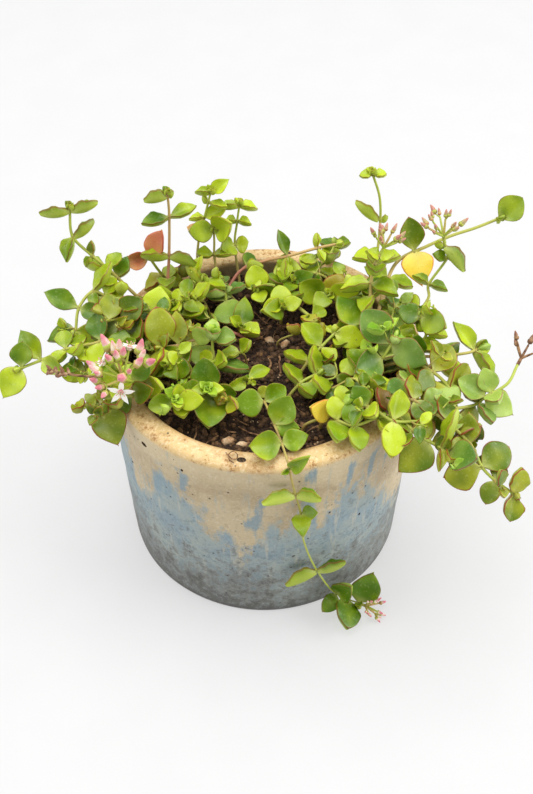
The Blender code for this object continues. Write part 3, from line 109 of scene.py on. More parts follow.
# Leafy stems: name, colour, radius, root, route above the soil, and leaf pairs.
# A pair is its place along the route, the two lengths, its direction or its two
# directions and its lean towards the stem's tip in degrees, then, where they are
# not the usual ones, the way its blades face and their width for a length of 1.
# Place 1 is the route's first point.
STEMS = (
    ("left_tall", "green", 1.0, (-45, 22), [(-55, 25, 105), (-60, 25, 112), (-65, 26, 117),
      (-72, 29, 124), (-72, 31, 135)],
     [(1.2, (9, 9), SLANT, 20), (2, (9, 8), ((-0.9, -0.3, 0.1), (0.7, 0.6, 0.2)), 10),
      (3, (6, 5), (0.1, 0.6, 1), 20, UPWARD, 0.5),
      (4, (10, 10), ((0.8, 0.3, 0.4), (-0.1, -0.7, -0.6)), 0, EDGE_ON, 0.55),
      (5, (11, 11), ((-0.9, -0.3, -0.1), (1, 0, 0.35)), 0, EDGE_ON, 0.6)]),
    ("left_middle", "green", 1.0, (-45.5, 14), [(-54, 14, 101), (-59, 16, 104), (-65, 17, 107),
      (-70, 11, 104), (-71, 4, 99)],
     [(1.4, (10, 10), (-0.3, 1, 0.4), 15), (2.3, (8, 8), (0.4, 0.8, 0.4), 10),
      (3, (13, 8), ((0.8, 0.5, 0.4), (0.1, -0.8, -0.2)), 0, UPWARD, 0.55),
      (4, (14, 12), ((-1, 0.35, 0.3), (1, -0.3, -0.1)), 0, VIEWED, 0.6),
      (5, (12, 11), (1, 0.3, 0), 10, VIEWED, 0.8)]),
    ("left_low", "green", 1.0, (-46, -2), [(-56, -3, 98), (-65, -4, 99.5), (-74, -5, 98), (-82, -8, 96),
      (-90, -11, 94)],
     [(1.6, (11, 10), (0.2, 1, 0.5), 10), (2.4, (8, 8), (0.3, -1, 0.3), 10),
      (3, (8, 7), (0.3, 1, 0.3), 15), (4, (14, 11), ((-0.8, 0.8, 0.5), (1, -0.3, 0.0)), 0, UPWARD, 0.65),
      (5, (10, 13), ((0.3, 0.6, 0.7), (-0.9, -0.4, -0.35)), 0, VIEWED, 0.9)]),
    ("left_front", "olive", 0.9, (-38, -24), [(-46, -29, 98), (-53, -31, 99), (-57, -32, 98),
      (-58, -34, 95.5)],
     [(1.1, (10, 9), (1, 0.4, 0.3), 10), (2, (8, 9), ((-0.8, 0.6, 0.4), (0.5, -0.8, 0.1)), 0),
      (3, (6, 6), ((-0.9, 0.2, 0.2), (0.8, -0.5, 0)), 10),
      (3.8, (14, 6), ((0.1, -0.6, -0.5), (-0.8, 0.3, 0.2)), 0, VIEWED, 0.95)]),
    ("left_bloom", "green", 1.0, (-36, -15), [(-42, -23, 99), (-46, -27, 103), (-48, -30, 107)],
     [(1.2, (10, 10), (1, -0.6, 0.2), 15), (2.2, (9, 9), (0.9, 0.5, 0), 10)]),
    ("back_left_tall", "green", 0.9, (-36, 28), [(-38, 31, 97), (-37, 35, 110), (-36, 37, 127),
      (-36, 37, 137)],
     [(1.3, (7, 9), ((0.1, 1, 0), (0, -1, -0.1)), 0), (2, (11, 11), (1, 0, -0.1), -8, EDGE_ON, 0.6),
      (3, (11, 11), ((0.9, 0.4, 0.15), (-0.9, -0.4, -0.1)), 0, UPWARD, 0.55),
      (4, (9, 2.4), ((-1, 0, -0.25), (1, 0, 0)), 5, EDGE_ON, 0.6)]),
    ("back_left_red", "red", 1.0, (-31, 33), [(-40, 36, 98.5), (-45, 37, 107)],
     [(1, (9, 9), ((0.6, -0.8, 0), (-0.8, -0.3, 0.1)), 0),
      (2, (13, 10), ((0.2, 0.3, 1), (-0.9, -0.1, 0.3)), 0, VIEWED, 0.7)]),
    ("back_left_thin", "green", 0.8, (-25, 38), [(-27, 45, 98), (-26, 51, 107), (-24, 52, 114),
      (-21, 53, 126)],
     [(2.2, (6, 6), (1, -0.2, 0.1), 20),
      (3.1, (6, 9), ((-0.9, -0.2, 0.1), (0.9, 0.2, 0.3)), 0, UPWARD, 0.7),
      (3.7, (8, 3), ((1, -0.4, -0.2), (-1, 0.3, 0)), 0, EDGE_ON, 0.5),
      (4, (9, 6), ((0.6, 0.2, 0.8), (-0.9, 0, 0.3)), 10, UPWARD, 0.6)]),
    ("back_hearts", "green", 0.8, (-18, 37), [(-20, 45, 100), (-20, 48, 106), (-20, 48, 111)],
     [(1.2, (7, 7), (1, 0.3, 0.1), 10),
      (3, (10, 12), ((-0.7, -0.3, 0.5), (0.7, -0.1, 0.8)), 0, VIEWED, 0.95)]),
    ("back_small", "green", 0.8, (-10, 41), [(-12, 52, 101), (-11, 55, 110), (-10, 57, 117)],
     [(1, (9, 7), ((-0.7, -0.7, 0), (0.8, 0.4, 0)), 0, VIEWED, 1.0),
      (2.1, (6, 6), (1, -0.4, 0), 5, UPWARD, 0.6), (3, (8, 8), (1, 0.2, 0.1), 5, UPWARD, 0.6)]),
    ("back_pink", "green", 1.0, (-17, 30), [(-10, 39, 98), (0, 41, 102), (9, 41, 104.5), (21, 43, 107),
      (28, 44, 108)],
     [(1.3, (8, 8), FRONT, 20), (3, (11, 10), ((-0.3, 0.5, 1), (-0.2, -0.8, -0.3)), 0, UPWARD, 0.45),
      (4, (6, 7), ((-0.4, 0.6, 0.7), (0.4, -0.8, -0.2)), 0, UPWARD, 0.45)]),
    ("right_bloom_dark", "green", 1.1, (40, 3), [(40, 8, 101), (40, 13, 108), (40, 16, 112),
      (41, 19, 118), (43, 21, 121.5)],
     [(1, (11, 13), ((0.6, -0.8, 0), (-0.7, 0.5, 0)), 0, VIEWED, 0.9), (2, (9, 9), (0.5, 1, 0), 0),
      (3, (12, 12), ((-1, 0.05, 0.1), (0.8, -0.7, -0.1)), 0, UPWARD, 0.65),
      (4, (9, 9), ((0.2, 1, 0.2), (-0.1, -1, 0.1)), 10),
      (4.8, (6, 6), ((-0.8, -0.4, 0.3), (0.9, -0.2, 0.3)), 20)]),
    ("right_tall", "green", 0.9, (37, 27), [(43, 40, 100), (45, 48, 112), (44, 49, 125), (41, 51, 136)],
     [(1.2, (10, 10), ((-0.8, -0.4, 0.1), (0.8, -0.4, 0.1)), 10),
      (2.3, (12, 3), ((-0.7, 0.3, 0.7), (1, 0, 0)), 0, EDGE_ON, 0.45),
      (4, (5, 5), ((-1, 0, 0.1), (1, -0.1, 0)), 10)]),
    ("right_long", "yellow", 1.1, (42.5, 13), [(47, 28, 99), (53, 41, 102), (64, 45, 106), (74, 47, 110),
      (83, 48, 113), (92, 50, 116)],
     [(1.3, (10, 10), CROSS, 15), (2.6, (11, 13), ((-0.1, 0.4, 1), (0.1, -0.9, -0.4)), 0, VIEWED, 0.75),
      (6, (12, 3), ((1, 0.1, 0.2), (-0.2, -0.8, 0)), 0, VIEWED, 0.9)]),
    ("right_bloom_pale", "green", 0.9, (45.5, 6), [(56, 10, 98), (62, 15, 105), (64, 18, 110),
      (67, 22, 117), (68, 25, 123.5)],
     [(1.3, (11, 11), (0.7, -0.9, 0.1), 10, VIEWED, 0.95),
      (3, (7, 8), ((-0.8, 0.5, 0.4), (0.8, -0.6, 0)), 0, UPWARD, 0.55), (4, (6, 6), (1, 0.1, 0.2), 10),
      (4.9, (4, 12), ((-0.8, 0, 0.4), (0.5, -0.4, -0.9)), -20, EDGE_ON, 0.45)]),
    ("right_upright", "green", 1.0, (46, -1.5), [(56, -5, 98), (60, -3, 103), (58, 0, 109)],
     [(1.2, (10, 10), (0.8, -0.6, 0.1), 10), (2.3, (11, 8), ((0.2, 1, 0.4), (0.8, -0.4, -0.2)), 0),
      (3, (9, 11), ((-0.8, 0.5, 0.1), (0.6, -0.8, 0)), 0, VIEWED, 0.9)]),
    ("right_pointed", "green", 1.0, (45.5, -8.5), [(55, -10, 98), (66, -10, 99), (74, -8, 98.5),
      (79, -6, 98.5)],
     [(1.1, (9, 9), (0.2, 1, 0.2), 0), (2, (10, 10), (0.2, 1, 0.2), 10),
      (3.7, (13, 13), ((-0.7, 0.6, 0.5), (0.5, -0.8, -0.1)), 0, UPWARD, 0.5),
      (4, (5, 5), ((0.6, 0.8, 0.4), (0.9, -0.2, 0.3)), 20)]),
    ("right_rosette", "blue", 1.0, (44, -15.5), [(51, -25, 98), (58, -29, 97.5), (67, -31, 95),
      (75, -29, 92), (82, -25, 91), (88, -20, 96), (92, -16, 99)],
     [(1.2, (10, 10), (0.3, 1, 0.2), 0), (2, (9, 9), ((-0.2, -0.9, 0.1), (0.2, 0.9, 0.3)), 10),
      (3.2, (12, 10), ((0.2, 1, 0.3), (-0.3, -1, -0.1)), 0),
      (4.4, (10, 10), ((-0.4, 0.9, 0.3), (0.4, -0.9, 0)), 0),
      (5, (12, 12), ((-0.9, 0.1, 0.2), (1, -0.3, -0.1)), 0, VIEWED, 0.9),
      (5.3, (10, 9), ((0.2, 0.9, 0.4), (-0.1, -0.9, 0.1)), 10, VIEWED, 0.8)]),
    ("right_brown_edged", "olive", 1.0, (35.5, -28.5), [(46, -38, 98), (53, -45, 95), (60, -48, 90.5),
      (65, -49, 88)],
     [(1, (10, 10), (0.7, -0.7, 0), 10), (1.8, (9, 9), (0.7, 0.7, 0.2), 10),
      (2.6, (14, 15), ((-0.5, 0.6, 0.4), (-0.7, -0.5, -0.2)), 0, VIEWED, 0.9),
      (3.2, (15, 9), ((0.2, 0.6, 0.9), (0.1, -0.9, -0.2)), 0, EDGE_ON, 0.4),
      (3.8, (7, 14), ((-0.7, 0.5, 0.5), (0.9, -0.5, 0)), 0, VIEWED, 0.85),
      (4, (8, 7), ((0.5, 0.8, 0.5), (-0.4, -0.6, 0.5)), 10)]),
    ("right_trailing", "olive", 1.0, (41, -21.5), [(52, -32, 99), (63, -38, 95), (74, -44, 88),
      (77, -50, 82), (83, -52, 78), (89, -54, 74)],
     [(1.2, (10, 10), (-0.5, 1, 0.2), 0), (2.2, (11, 11), (-0.4, 1, 0.2), 0),
      (3, (11, 6), ((0.3, 0.9, 0.4), (0, -1, -0.3)), 0),
      (4, (14, 13), ((-1, -0.1, 0), (0.9, 0.4, 0.4)), 0, VIEWED, 0.9),
      (5, (8, 9), ((0.3, 0.9, 0.4), (-0.3, -0.8, -0.6)), 0),
      (6, (10, 10), ((0.2, 0.5, 0.9), (0.1, -0.6, -0.7)), 0, VIEWED, 0.85)]),
    ("right_round", "olive", 1.0, (39, -9), [(52, -15, 101), (61, -19, 100), (67, -24, 96), (70, -31, 90),
      (69, -37, 85)],
     [(1, (11, 11), CROSS, 10), (2, (12, 11), ((0.6, 0.9, 0.2), (-0.6, -0.8, 0)), 0),
      (3, (12, 12), ((1, 0.2, 0.1), (-0.9, -0.5, 0)), 0, VIEWED, 0.95),
      (4, (11, 11), ((0.7, 0.6, 0.2), (-0.8, -0.4, -0.1)), 0, VIEWED, 0.95),
      (5, (12, 9), ((0.4, 0.3, 0.6), (-0.7, -0.2, -0.2)), 0, VIEWED, 0.9)]),
    ("right_big_blue", "blue", 1.0, (36, -16), [(43, -13, 101), (47, -9, 106)],
     [(1, (14, 13), ((-0.8, -0.6, -0.1), (0.7, 0.7, 0.3)), 0),
      (1.8, (16, 15), ((-0.5, 0.8, 0.4), (0.8, -0.6, 0)), 0, VIEWED, 0.85),
      (2, (5, 5), ((0.3, 1, 0.6), (-0.1, -1, 0.4)), 20)]),
    ("right_inner_long", "green", 1.0, (32, 9), [(34, 8, 98), (36, 3, 101)],
     [(1, (10, 11), ((-0.9, -0.4, 0), (0.7, -0.7, 0)), 0),
      (2, (15, 10), ((-0.6, 0.8, 0.3), (1, 0.2, 0.1)), 0, UPWARD, 0.75)]),
    ("front_right_pair", "green", 1.0, (28, -30), [(36, -39, 97.5), (45, -43, 98.5), (52, -41, 98)],
     [(1, (9, 9), CROSS, 10), (2, (11, 13), ((0.1, 0.9, 0.4), (0.1, -0.9, -0.45)), 0, VIEWED, 0.7)]),
    ("front_right_round", "lime", 1.0, (20.5, -35), [(28, -41, 97.5), (34, -43, 99), (39, -40, 100.5)],
     [(1, (9, 11), ((-0.3, 0.9, 0.3), (0.1, -0.9, 0.1)), 0),
      (2, (10, 10), ((-0.2, 0.9, 0.4), (0.3, -0.9, 0)), 0),
      (3, (8, 10), ((-0.4, 0.6, 0.7), (0.9, -0.5, 0)), 0)]),
    ("front_yellow", "yellow", 0.9, (14.5, -36), [(23, -37, 96.5), (28, -35, 100)],
     [(1.2, (10, 6), ((-0.8, -0.3, 0.4), (0.7, 0.5, 0)), 0, VIEWED, 0.95),
      (2, (7, 7), ((-0.3, 0.9, 0.5), (0.6, -0.8, 0)), 10)]),
    ("front_left_rosette", "lime", 1.0, (-29, -26), [(-30, -30, 96), (-31, -33, 100)],
     [(1, (7, 8), ((0.1, 0.9, 0), (0.2, -0.9, -0.1)), 10), (2, (10, 10), SIDE, 5, VIEWED, 0.75),
      (2, (6, 6), ((0.1, 0.8, 0.5), (0.1, -0.9, 0.3)), 10)]),
    ("front_left_dark", "green", 1.0, (-20, -24), [(-20, -26, 96), (-20, -29, 101)],
     [(1, (15, 13), ((0, -0.95, -0.05), (-0.1, 0.7, 0.7)), 0, VIEWED, 0.85), (1.5, (10, 10), SIDE, 0),
      (2, (6, 6), SIDE, 20)]),
    ("centre_rosette", "blue", 0.9, (-19, -13), [(-19, -11, 96), (-19, -6, 106)],
     [(1, (13, 14), ((-0.7, 0.7, 0.1), (1, -0.25, 0)), 0, UPWARD, 0.75),
      (1.9, (9, 9), ((-0.9, 0.3, 0.1), (0.9, -0.2, 0.1)), 0, VIEWED, 0.9),
      (2, (7, 7), ((0, 0.8, 0.4), (0, -0.9, 0.2)), 10, VIEWED, 0.9)]),
    ("left_pink", "olive", 1.0, (-6, 7), [(-14, 6, 96.5), (-24, 1, 98), (-32, -4, 99), (-38, -6, 100)],
     [(3, (13, 13), ((0, 0.6, 0.8), (0.15, -0.9, -0.1)), 0, VIEWED, 0.65),
      (4, (15, 14), ((-0.1, 0.5, 0.9), (-0.2, -0.9, -0.1)), 0, VIEWED, 0.9),
      (4, (6, 6), ((0.9, 0.3, 0.4), (-0.9, 0.2, 0.3)), 20)]),
    ("left_big_round", "lime", 1.1, (-38, 20), [(-38, 17, 94), (-39, 14, 96)],
     [(1, (10, 10), ((-0.9, 0.3, 0.3), (0.9, 0.4, 0.3)), 0),
      (1.9, (13, 9), ((0, 0.3, 1), (0, -1, 0.1)), 0, VIEWED, 1.0)]),
    ("back_lime_pair", "lime", 1.0, (-26, 27), [(-25, 29, 97), (-24, 30, 101)],
     [(1, (8, 8), (0.3, 1, 0.1), 10),
      (2, (9, 10), ((-0.9, 0.4, 0.2), (0.9, -0.5, -0.1)), 0, EDGE_ON, 0.6)]),
    ("back_blue", "blue", 0.9, (-15, 21), [(-15, 24, 96), (-15, 26, 99)],
     [(1, (13, 9), ((0.1, -1, 0.05), (-0.5, 0.9, 0.2)), 0, VIEWED, 0.95), (2, (8, 8), SIDE, 20)]),
    ("centre_ovals", "green", 0.9, (-10, 14.5), [(-10, 12, 94), (-9, 9, 96)],
     [(1.5, (12, 9), ((0, 0.6, 0.8), (0.4, -0.9, -0.1)), 0, VIEWED, 0.75), (2, (6, 6), CROSS, 20)]),
    ("centre_cupped", "lime", 1.0, (6.5, 20), [(7, 18, 96), (7, 17, 99)],
     [(1.3, (11, 10), ((-0.2, -0.4, 0.7), (0.3, 0.8, 0.4)), 0, VIEWED, 0.8),
      (2, (8, 8), (1, 0.2, 0.2), 10)]),
    ("back_upright", "green", 1.0, (9, 34), [(10, 34, 95), (11, 33, 98)],
     [(1, (13, 11), ((0, 0.4, 1), (-0.8, -0.3, 0.4)), 0, VIEWED, 0.85),
      (2, (9, 8), ((0.9, 0.1, 0.5), (-0.2, -0.9, 0.2)), 0)]),
    ("back_narrow", "green", 0.9, (-1, 31), [(-2, 30, 94), (-3, 29, 97)],
     [(1, (12, 10), ((-0.3, 0.3, 1), (0.8, 0.2, 0.6)), 0), (2, (8, 8), (0.3, -1, 0.2), 10)]),
    ("right_inner_round", "green", 1.0, (23, 27), [(24, 26, 96), (25, 24, 99)],
     [(1, (12, 12), ((-0.8, 0.2, 0.5), (0.6, 0.5, 0.6)), 0, VIEWED, 0.9),
      (2, (13, 9), ((0.6, -0.4, 0.6), (-0.6, -0.7, 0)), 0, VIEWED, 0.85)]),
    ("long_tan", "green", 1.1, (-4, 37), [(5, 27, 97), (13, 18, 98), (21, 9, 98), (28, 3, 98),
      (33, 0, 98)],
     [(1.5, (7, 7), SLANT, 20), (2.6, (7, 6), SLANT, 10), (4.4, (8, 8), SLANT, 10)]),
    ("back_yellow_stem", "green", 0.9, (31, 31), [(24, 36, 98), (15, 37, 99.5), (8, 37, 100)],
     [(1.4, (8, 8), FRONT, 10), (3, (7, 7), FRONT, 10)]),
    ("centre_pale", "lime", 1.0, (12, -14), [(16, -10, 96), (21, -5, 99), (26, 0, 101)],
     [(1, (10, 10), ((-0.8, 0.5, 0), (0.7, -0.7, 0)), 0),
      (2, (11, 8), ((-0.7, 0.6, 0.3), (0.6, -0.7, 0)), 0),
      (3, (12, 4), ((1, -0.1, 0.1), (-0.5, 0.9, 0)), 0, VIEWED, 0.75)]),
    ("front_middle", "green", 1.0, (8, -24), [(13, -21, 96), (19, -18, 98)],
     [(1, (10, 9), ((-0.5, 0.9, 0.2), (0.4, -0.9, 0)), 0),
      (2, (11, 10), ((0.2, 0.8, 0.5), (0.2, -0.9, 0)), 0)]),
    ("front_left_narrow", "green", 0.9, (-9, -14), [(-8, -17, 95), (-6, -20, 97)],
     [(1.8, (11, 9), ((0.9, 0.5, 0.1), (-0.8, -0.6, 0)), 0, UPWARD, 0.5)]),
    ("right_shade", "green", 1.0, (29, -14), [(34, -18, 97), (38, -20, 99)],
     [(1, (9, 9), CROSS, 0), (2, (12, 10), ((-0.4, 0.8, 0.4), (0.6, -0.8, 0)), 0)]),
    ("left_edge", "olive", 1.0, (-44.5, 5.5), [(-50, 7, 99), (-54, 6, 103), (-58, 3, 105)],
     [(1, (13, 12), ((-0.4, 0.9, 0.3), (0.5, -0.8, 0)), 0, VIEWED, 0.85), (1.5, (8, 8), CROSS, 30),
      (2, (13, 12), ((-0.9, -0.5, 0.1), (0.9, 0.4, 0.2)), 0),
      (3, (11, 10), ((0.2, 0.8, 0.3), (-0.2, -0.9, 0)), 0, VIEWED, 0.8)]),
    ("left_inner", "green", 1.0, (-38, 7), [(-40, 7, 96), (-42, 8, 101)],
     [(1, (11, 11), ((0.9, -0.2, 0), (-0.7, -0.7, 0)), 0),
      (2, (13, 11), ((0.1, 1, 0.3), (0.2, -1, 0.1)), 0, VIEWED, 0.85)]),
    ("left_outer", "green", 1.0, (-43.5, -10.5), [(-54, -11, 99), (-61, -11, 97), (-66, -12, 92)],
     [(1, (12, 11), ((0.2, 1, 0.3), (0, -1, 0)), 0), (1.5, (8, 8), SLANT, 30),
      (2, (12, 11), ((-0.5, 0.9, 0.2), (0.2, -1, 0)), 0, VIEWED, 0.85),
      (3, (11, 10), ((-1, 0, -0.2), (0.6, 0.8, 0.2)), 0, VIEWED, 0.9)]),
    ("front_trailing", "green", 1.0, (-2, -25), [(0, -31, 97), (3, -42, 99), (6, -51, 97.5),
      (8, -59, 96.8), (9.5, -62.8, 91), (11, -61.8, 82), (13, -60.5, 70), (14, -60, 56), (18, -58.4, 38),
      (25, -55.2, 17), (31, -53.4, 7), (37.5, -55, 5)],
     [(1, (9, 11), ((0.7, 0.6, 0.2), (-0.9, -0.2, 0.1)), 0, VIEWED, 0.95),
      (2.2, (12, 9), ((0.3, 0.6, 0.6), (0.6, -0.3, 0)), 0, VIEWED, 0.85),
      (3, (12, 10), ((-1, -0.1, 0.1), (1, 0.3, 0.1)), 0, VIEWED, 0.85),
      (4.3, (11, 4), ((0.5, -0.1, 0.8), (-0.6, -0.7, -0.2)), 0, UPWARD, 0.5),
      (5.9, (12, 9), ((-1, -0.2, 0.2), (1, -0.2, 0.1)), 0, EDGE_ON, 0.55),
      (7, (9, 7), ((0.05, -1, 0.1), (0.6, -0.2, 0.5)), 0),
      (9.3, (13, 12), ((-0.95, -0.35, -0.1), (1, -0.1, 0.5)), 0, EDGE_ON, 0.55),
      (10.6, (12, 9), ((0.35, -0.2, 1), (-0.6, -0.8, 0.05)), 0, VIEWED, 0.8),
      (11.2, (14, 5), ((0.15, -1, 0.02), (0, 0.6, 0.8)), 0, UPWARD, 0.9),
      (12, (14, 4), ((0.9, 0.1, 0.35), (0.2, -0.8, 0.2)), 0, VIEWED, 0.9)]),
)

# Flower and bud heads: name, colour, the stem that carries it, the number of
# buds, the spread in degrees, the length of the flower stalks and open stars
HEADS = (
    ("left_bloom_head", "bloom", "left_bloom", 9, 62, 11.0, 2),
    ("right_dark_buds", "bloom", "right_bloom_dark", 7, 62, 5.5, 0),
    ("right_pale_buds", "bloom", "right_bloom_pale", 7, 66, 7.0, 0),
    ("right_rosette_buds", "dry", "right_rosette", 4, 60, 6.0, 0),
    ("front_trailing_buds", "bloom", "front_trailing", 7, 65, 6.0, 0),
)
HEAD_CORE = 1.7
TWIG_RADIUS = 0.36
BUD_LENGTH = 4.2
BUD_WIDTH = 1.9
PETAL_LENGTH = 5.2
PETAL_WIDTH = 1.7

# Brown flowered-out stalk: radius, root and route
DRY_STALK = (0.8, (-44.5, -17.5),
             [(-53, -21, 99.5), (-62, -23, 102), (-70, -22, 102), (-78, -18, 100)])

# Short stems that fill the gaps: the middle of each patch, and how it leans
FILLERS = (
    ((-30, 10), (-0.3, 0.4)),
    ((-30, -10), (-0.4, -0.4)),
    ((30, 20), (0.5, 0.3)),
    ((20, 38), (0.5, 0.9)),
)


# Plan of the plant, as the model has it


def lengthwise(points, place):
    """Point and direction on a smooth curve; place counts its control points."""
    last = len(points) - 1
    step = min(int(max(place, 0.0)), last - 1)
    t = min(max(place - step, 0.0), 1.0)
    p1, p2 = points[step], points[step + 1]
    p0 = points[step - 1] if step > 0 else p1 * 2 - p2
    p3 = points[step + 2] if step + 2 <= last else p2 * 2 - p1
    a = p1 * 2
    b = p2 - p0
    c = p0 * 2 - p1 * 5 + p2 * 4 - p3
    d = p1 * 3 - p0 - p2 * 3 + p3
    point = (a + b * t + c * t * t + d * t ** 3) * 0.5
    heading = (b + c * 2 * t + d * 3 * t * t) * 0.5
    return point, heading.normalized()


def wall_radius(z):
    """Outer radius of the pot's wall at a height."""
    return POT_FOOT_RADIUS + (POT_TOP_RADIUS - POT_FOOT_RADIUS) * z / POT_HEIGHT


def well_radius(z):
    """Inner radius of the pot's wall at a height."""
    share = (z - POT_FLOOR) / (POT_HEIGHT - POT_FLOOR)
    return POT_WELL_RADIUS + (POT_MOUTH_RADIUS - POT_WELL_RADIUS) * share


def soil_wave(x, y):
    """Height of the uneven soil surface before it is faceted."""
    wave = sin(x * 0.31 + 1.3) * cos(y * 0.27 - 0.4)
    ripple = sin(x * 0.83 - y * 0.61)
    return SOIL_TOP + SOIL_BUMP * (0.7 * wave + 0.3 * ripple)


def ring_points(radius, z, sides):
    """Points of a level ring round the pot's axis."""
    turns = [2 * pi * k / sides for k in range(sides)]
    return [Vector((radius * cos(turn), radius * sin(turn), z)) for turn in turns]


def ring_faces(rings, sides):
    """Faces from each ring of points to the next."""
    faces = []
    for k in range(rings - 1):
        for j in range(sides):
            a = k * sides + j
            b = k * sides + (j + 1) % sides
            faces.append((a, b, b + sides, a + sides))
    return faces


def turned(profile, sides):
    """Vertices and faces of a closed turned solid, its profile from foot to foot."""
    verts = [Vector((0.0, 0.0, profile[0][1]))]
    for radius, z in profile[1:-1]:
        verts += ring_points(radius, z, sides)
    verts.append(Vector((0.0, 0.0, profile[-1][1])))
    rings = len(profile) - 2
    faces = []
    for k in range(sides):
        nxt = (k + 1) % sides
        faces.append((0, 1 + nxt, 1 + k))
        for ring in range(rings - 1):
            low = 1 + ring * sides
            faces.append((low + k, low + nxt, low + sides + nxt, low + sides + k))
        top = 1 + (rings - 1) * sides
        faces.append((top + k, top + nxt, len(verts) - 1))
    return verts, faces


def pot_shape():
    """The pot: a tapered wall with eased edges, a flat foot and a flat floor."""
    profile = [
        (0.0, 0.0),
        (POT_FOOT_RADIUS - 1.6, 0.0),
        (POT_FOOT_RADIUS - 0.4, 0.7),
        (wall_radius(2.4), 2.4),
        (wall_radius(47.0), 47.0),
        (POT_TOP_RADIUS - 0.1, POT_HEIGHT - 2.2),
        (POT_TOP_RADIUS - 0.8, POT_HEIGHT - 0.6),
        (POT_TOP_RADIUS - 2.4, POT_HEIGHT),
        (POT_MOUTH_RADIUS + 1.6, POT_HEIGHT),
        (POT_MOUTH_RADIUS + 0.3, POT_HEIGHT - 0.8),
        (POT_MOUTH_RADIUS, POT_HEIGHT - 2.2),
        (POT_WELL_RADIUS, POT_FLOOR),
        (0.0, POT_FLOOR),
    ]
    return turned(profile, POT_SIDES)


def soil_shape():
    """The soil plug, with an uneven top; it fills the pot down to its floor."""
    top_edge = well_radius(SOIL_TOP) - GAP - 0.1
    profile = [(0.0, POT_FLOOR + GAP), (POT_WELL_RADIUS - GAP - 0.1, POT_FLOOR + GAP)]
    profile.append((top_edge, SOIL_TOP))
    profile += [(radius, SOIL_TOP) for radius in reversed(SOIL_RINGS)]
    profile.append((0.0, SOIL_TOP))
    verts, faces = turned(profile, SOIL_SIDES)
    for vert in verts:
        if abs(vert.z - SOIL_TOP) < 0.01:
            vert.z = soil_wave(vert.x, vert.y)
    return verts, faces


def soil_height(x, y):
    """Height of the soil's facets."""
    hit = SOIL_SURFACE.ray_cast(Vector((x, y, SOIL_TOP + 20.0)), Vector((0, 0, -1)))
    return hit[0].z if hit[0] else SOIL_TOP


def tube_shape(points, radii, sides, grow=0.0):
    """A tube along a run of points, closed flat at both ends."""
    verts = []
    side = None
    for k, point in enumerate(points):
        before = points[max(k - 1, 0)]
        after = points[min(k + 1, len(points) - 1)]
        heading = (after - before).normalized()
        if side is None:
            start = Vector((0, 1, 0)) if abs(heading.y) < 0.9 else Vector((1, 0, 0))
            side = start.cross(heading).normalized()
        side = (side - heading * side.dot(heading)).normalized()
        other = heading.cross(side)
        for j in range(sides):
            turn = 2 * pi * j / sides
            reach = radii[k] + grow
            verts.append(point + (side * cos(turn) + other * sin(turn)) * reach)
    faces = ring_faces(len(points), sides)
    faces.append(tuple(reversed(range(sides))))
    last = (len(points) - 1) * sides
    faces.append(tuple(range(last, last + sides)))
    return verts, faces


def leaf_shape(leaf, grow=0.0):
    """A closed leaf: flat above, keeled below, widest below the middle, pointed."""
    axis, normal = leaf["axis"], leaf["normal"]
    across = normal.cross(axis)
    length = leaf["length"] + grow
    width = leaf["width"] * 0.5 + grow
    verts = []
    for share, wide, deep in LEAF_STATIONS:
        half = width * wide if share else leaf["root"] + grow
        middle = leaf["base"] + axis * (share * (length - LEAF_ROOT_OFFSET) + LEAF_ROOT_OFFSET)
        middle += normal * (leaf["curl"] * length * sin(share * 4.0) + grow)
        verts.append(middle - across * half)
        verts.append(middle - normal * (leaf["thick"] * deep + grow * 2))
        verts.append(middle + across * half)
    tip = leaf["base"] + axis * length
    verts.append(tip + normal * leaf["curl"] * length * sin(4.0))
    faces = [(2, 1, 0)] + ring_faces(len(LEAF_STATIONS), 3)
    last = (len(LEAF_STATIONS) - 1) * 3
    for j in range(3):
        faces.append((last + j, last + (j + 1) % 3, len(verts) - 1))
    return verts, faces


def bud_shape(centre, axis, length, width):
    """A closed bud or petal: two four-sided points back to back."""
    side = axis.orthogonal().normalized()
    other = axis.cross(side)
    verts = [centre - axis * length * 0.5]
    for turn in (side, other, -side, -other):
        verts.append(centre - axis * length * 0.08 + turn * width * 0.5)
    verts.append(centre + axis * length * 0.5)
    faces = []
    for k in range(4):
        nxt = (k + 1) % 4
        faces.append((0, 1 + nxt, 1 + k))
        faces.append((1 + k, 1 + nxt, 5))
    return verts, faces


def tree_of(shape):
    return BVHTree.FromPolygons(shape[0], shape[1])


def box_of(verts):
    low = Vector(min(v[k] for v in verts) for k in range(3))
    high = Vector(max(v[k] for v in verts) for k in range(3))
    return low, high


def boxes_meet(a, b):
    return all(a[0][k] <= b[1][k] and b[0][k] <= a[1][k] for k in range(3))


SOIL_SURFACE = tree_of(soil_shape())


class Crowd:
    """Everything placed so far, so that new pieces are kept clear of it."""

    def __init__(self):
        self.members = []

    def add(self, owner, shape):
        self.members.append((owner, box_of(shape[0]), tree_of(shape)))

    def is_clear(self, owner, shape, passing=""):
        box = box_of(shape[0])
        others = [m for m in self.members if m[0] not in (owner, passing)]
        near = [m for m in others if boxes_meet(box, m[1])]
        if not near:
            return True
        tree = tree_of(shape)
        return not any(tree.overlap(m[2]) for m in near)


def in_open_air(verts):
    """True where every point is off the floor and outside the pot and the soil."""
    for vert in verts:
        radius = hypot(vert.x, vert.y)
        if vert.z < CLEARANCE:
            return False
        if vert.z > POT_HEIGHT + CLEARANCE:
            continue
        if radius > wall_radius(vert.z) + CLEARANCE:
            continue
        over_soil = vert.z > soil_height(vert.x, vert.y) + CLEARANCE
        if radius < well_radius(vert.z) - CLEARANCE and over_soil:
            continue
        return False
    return True


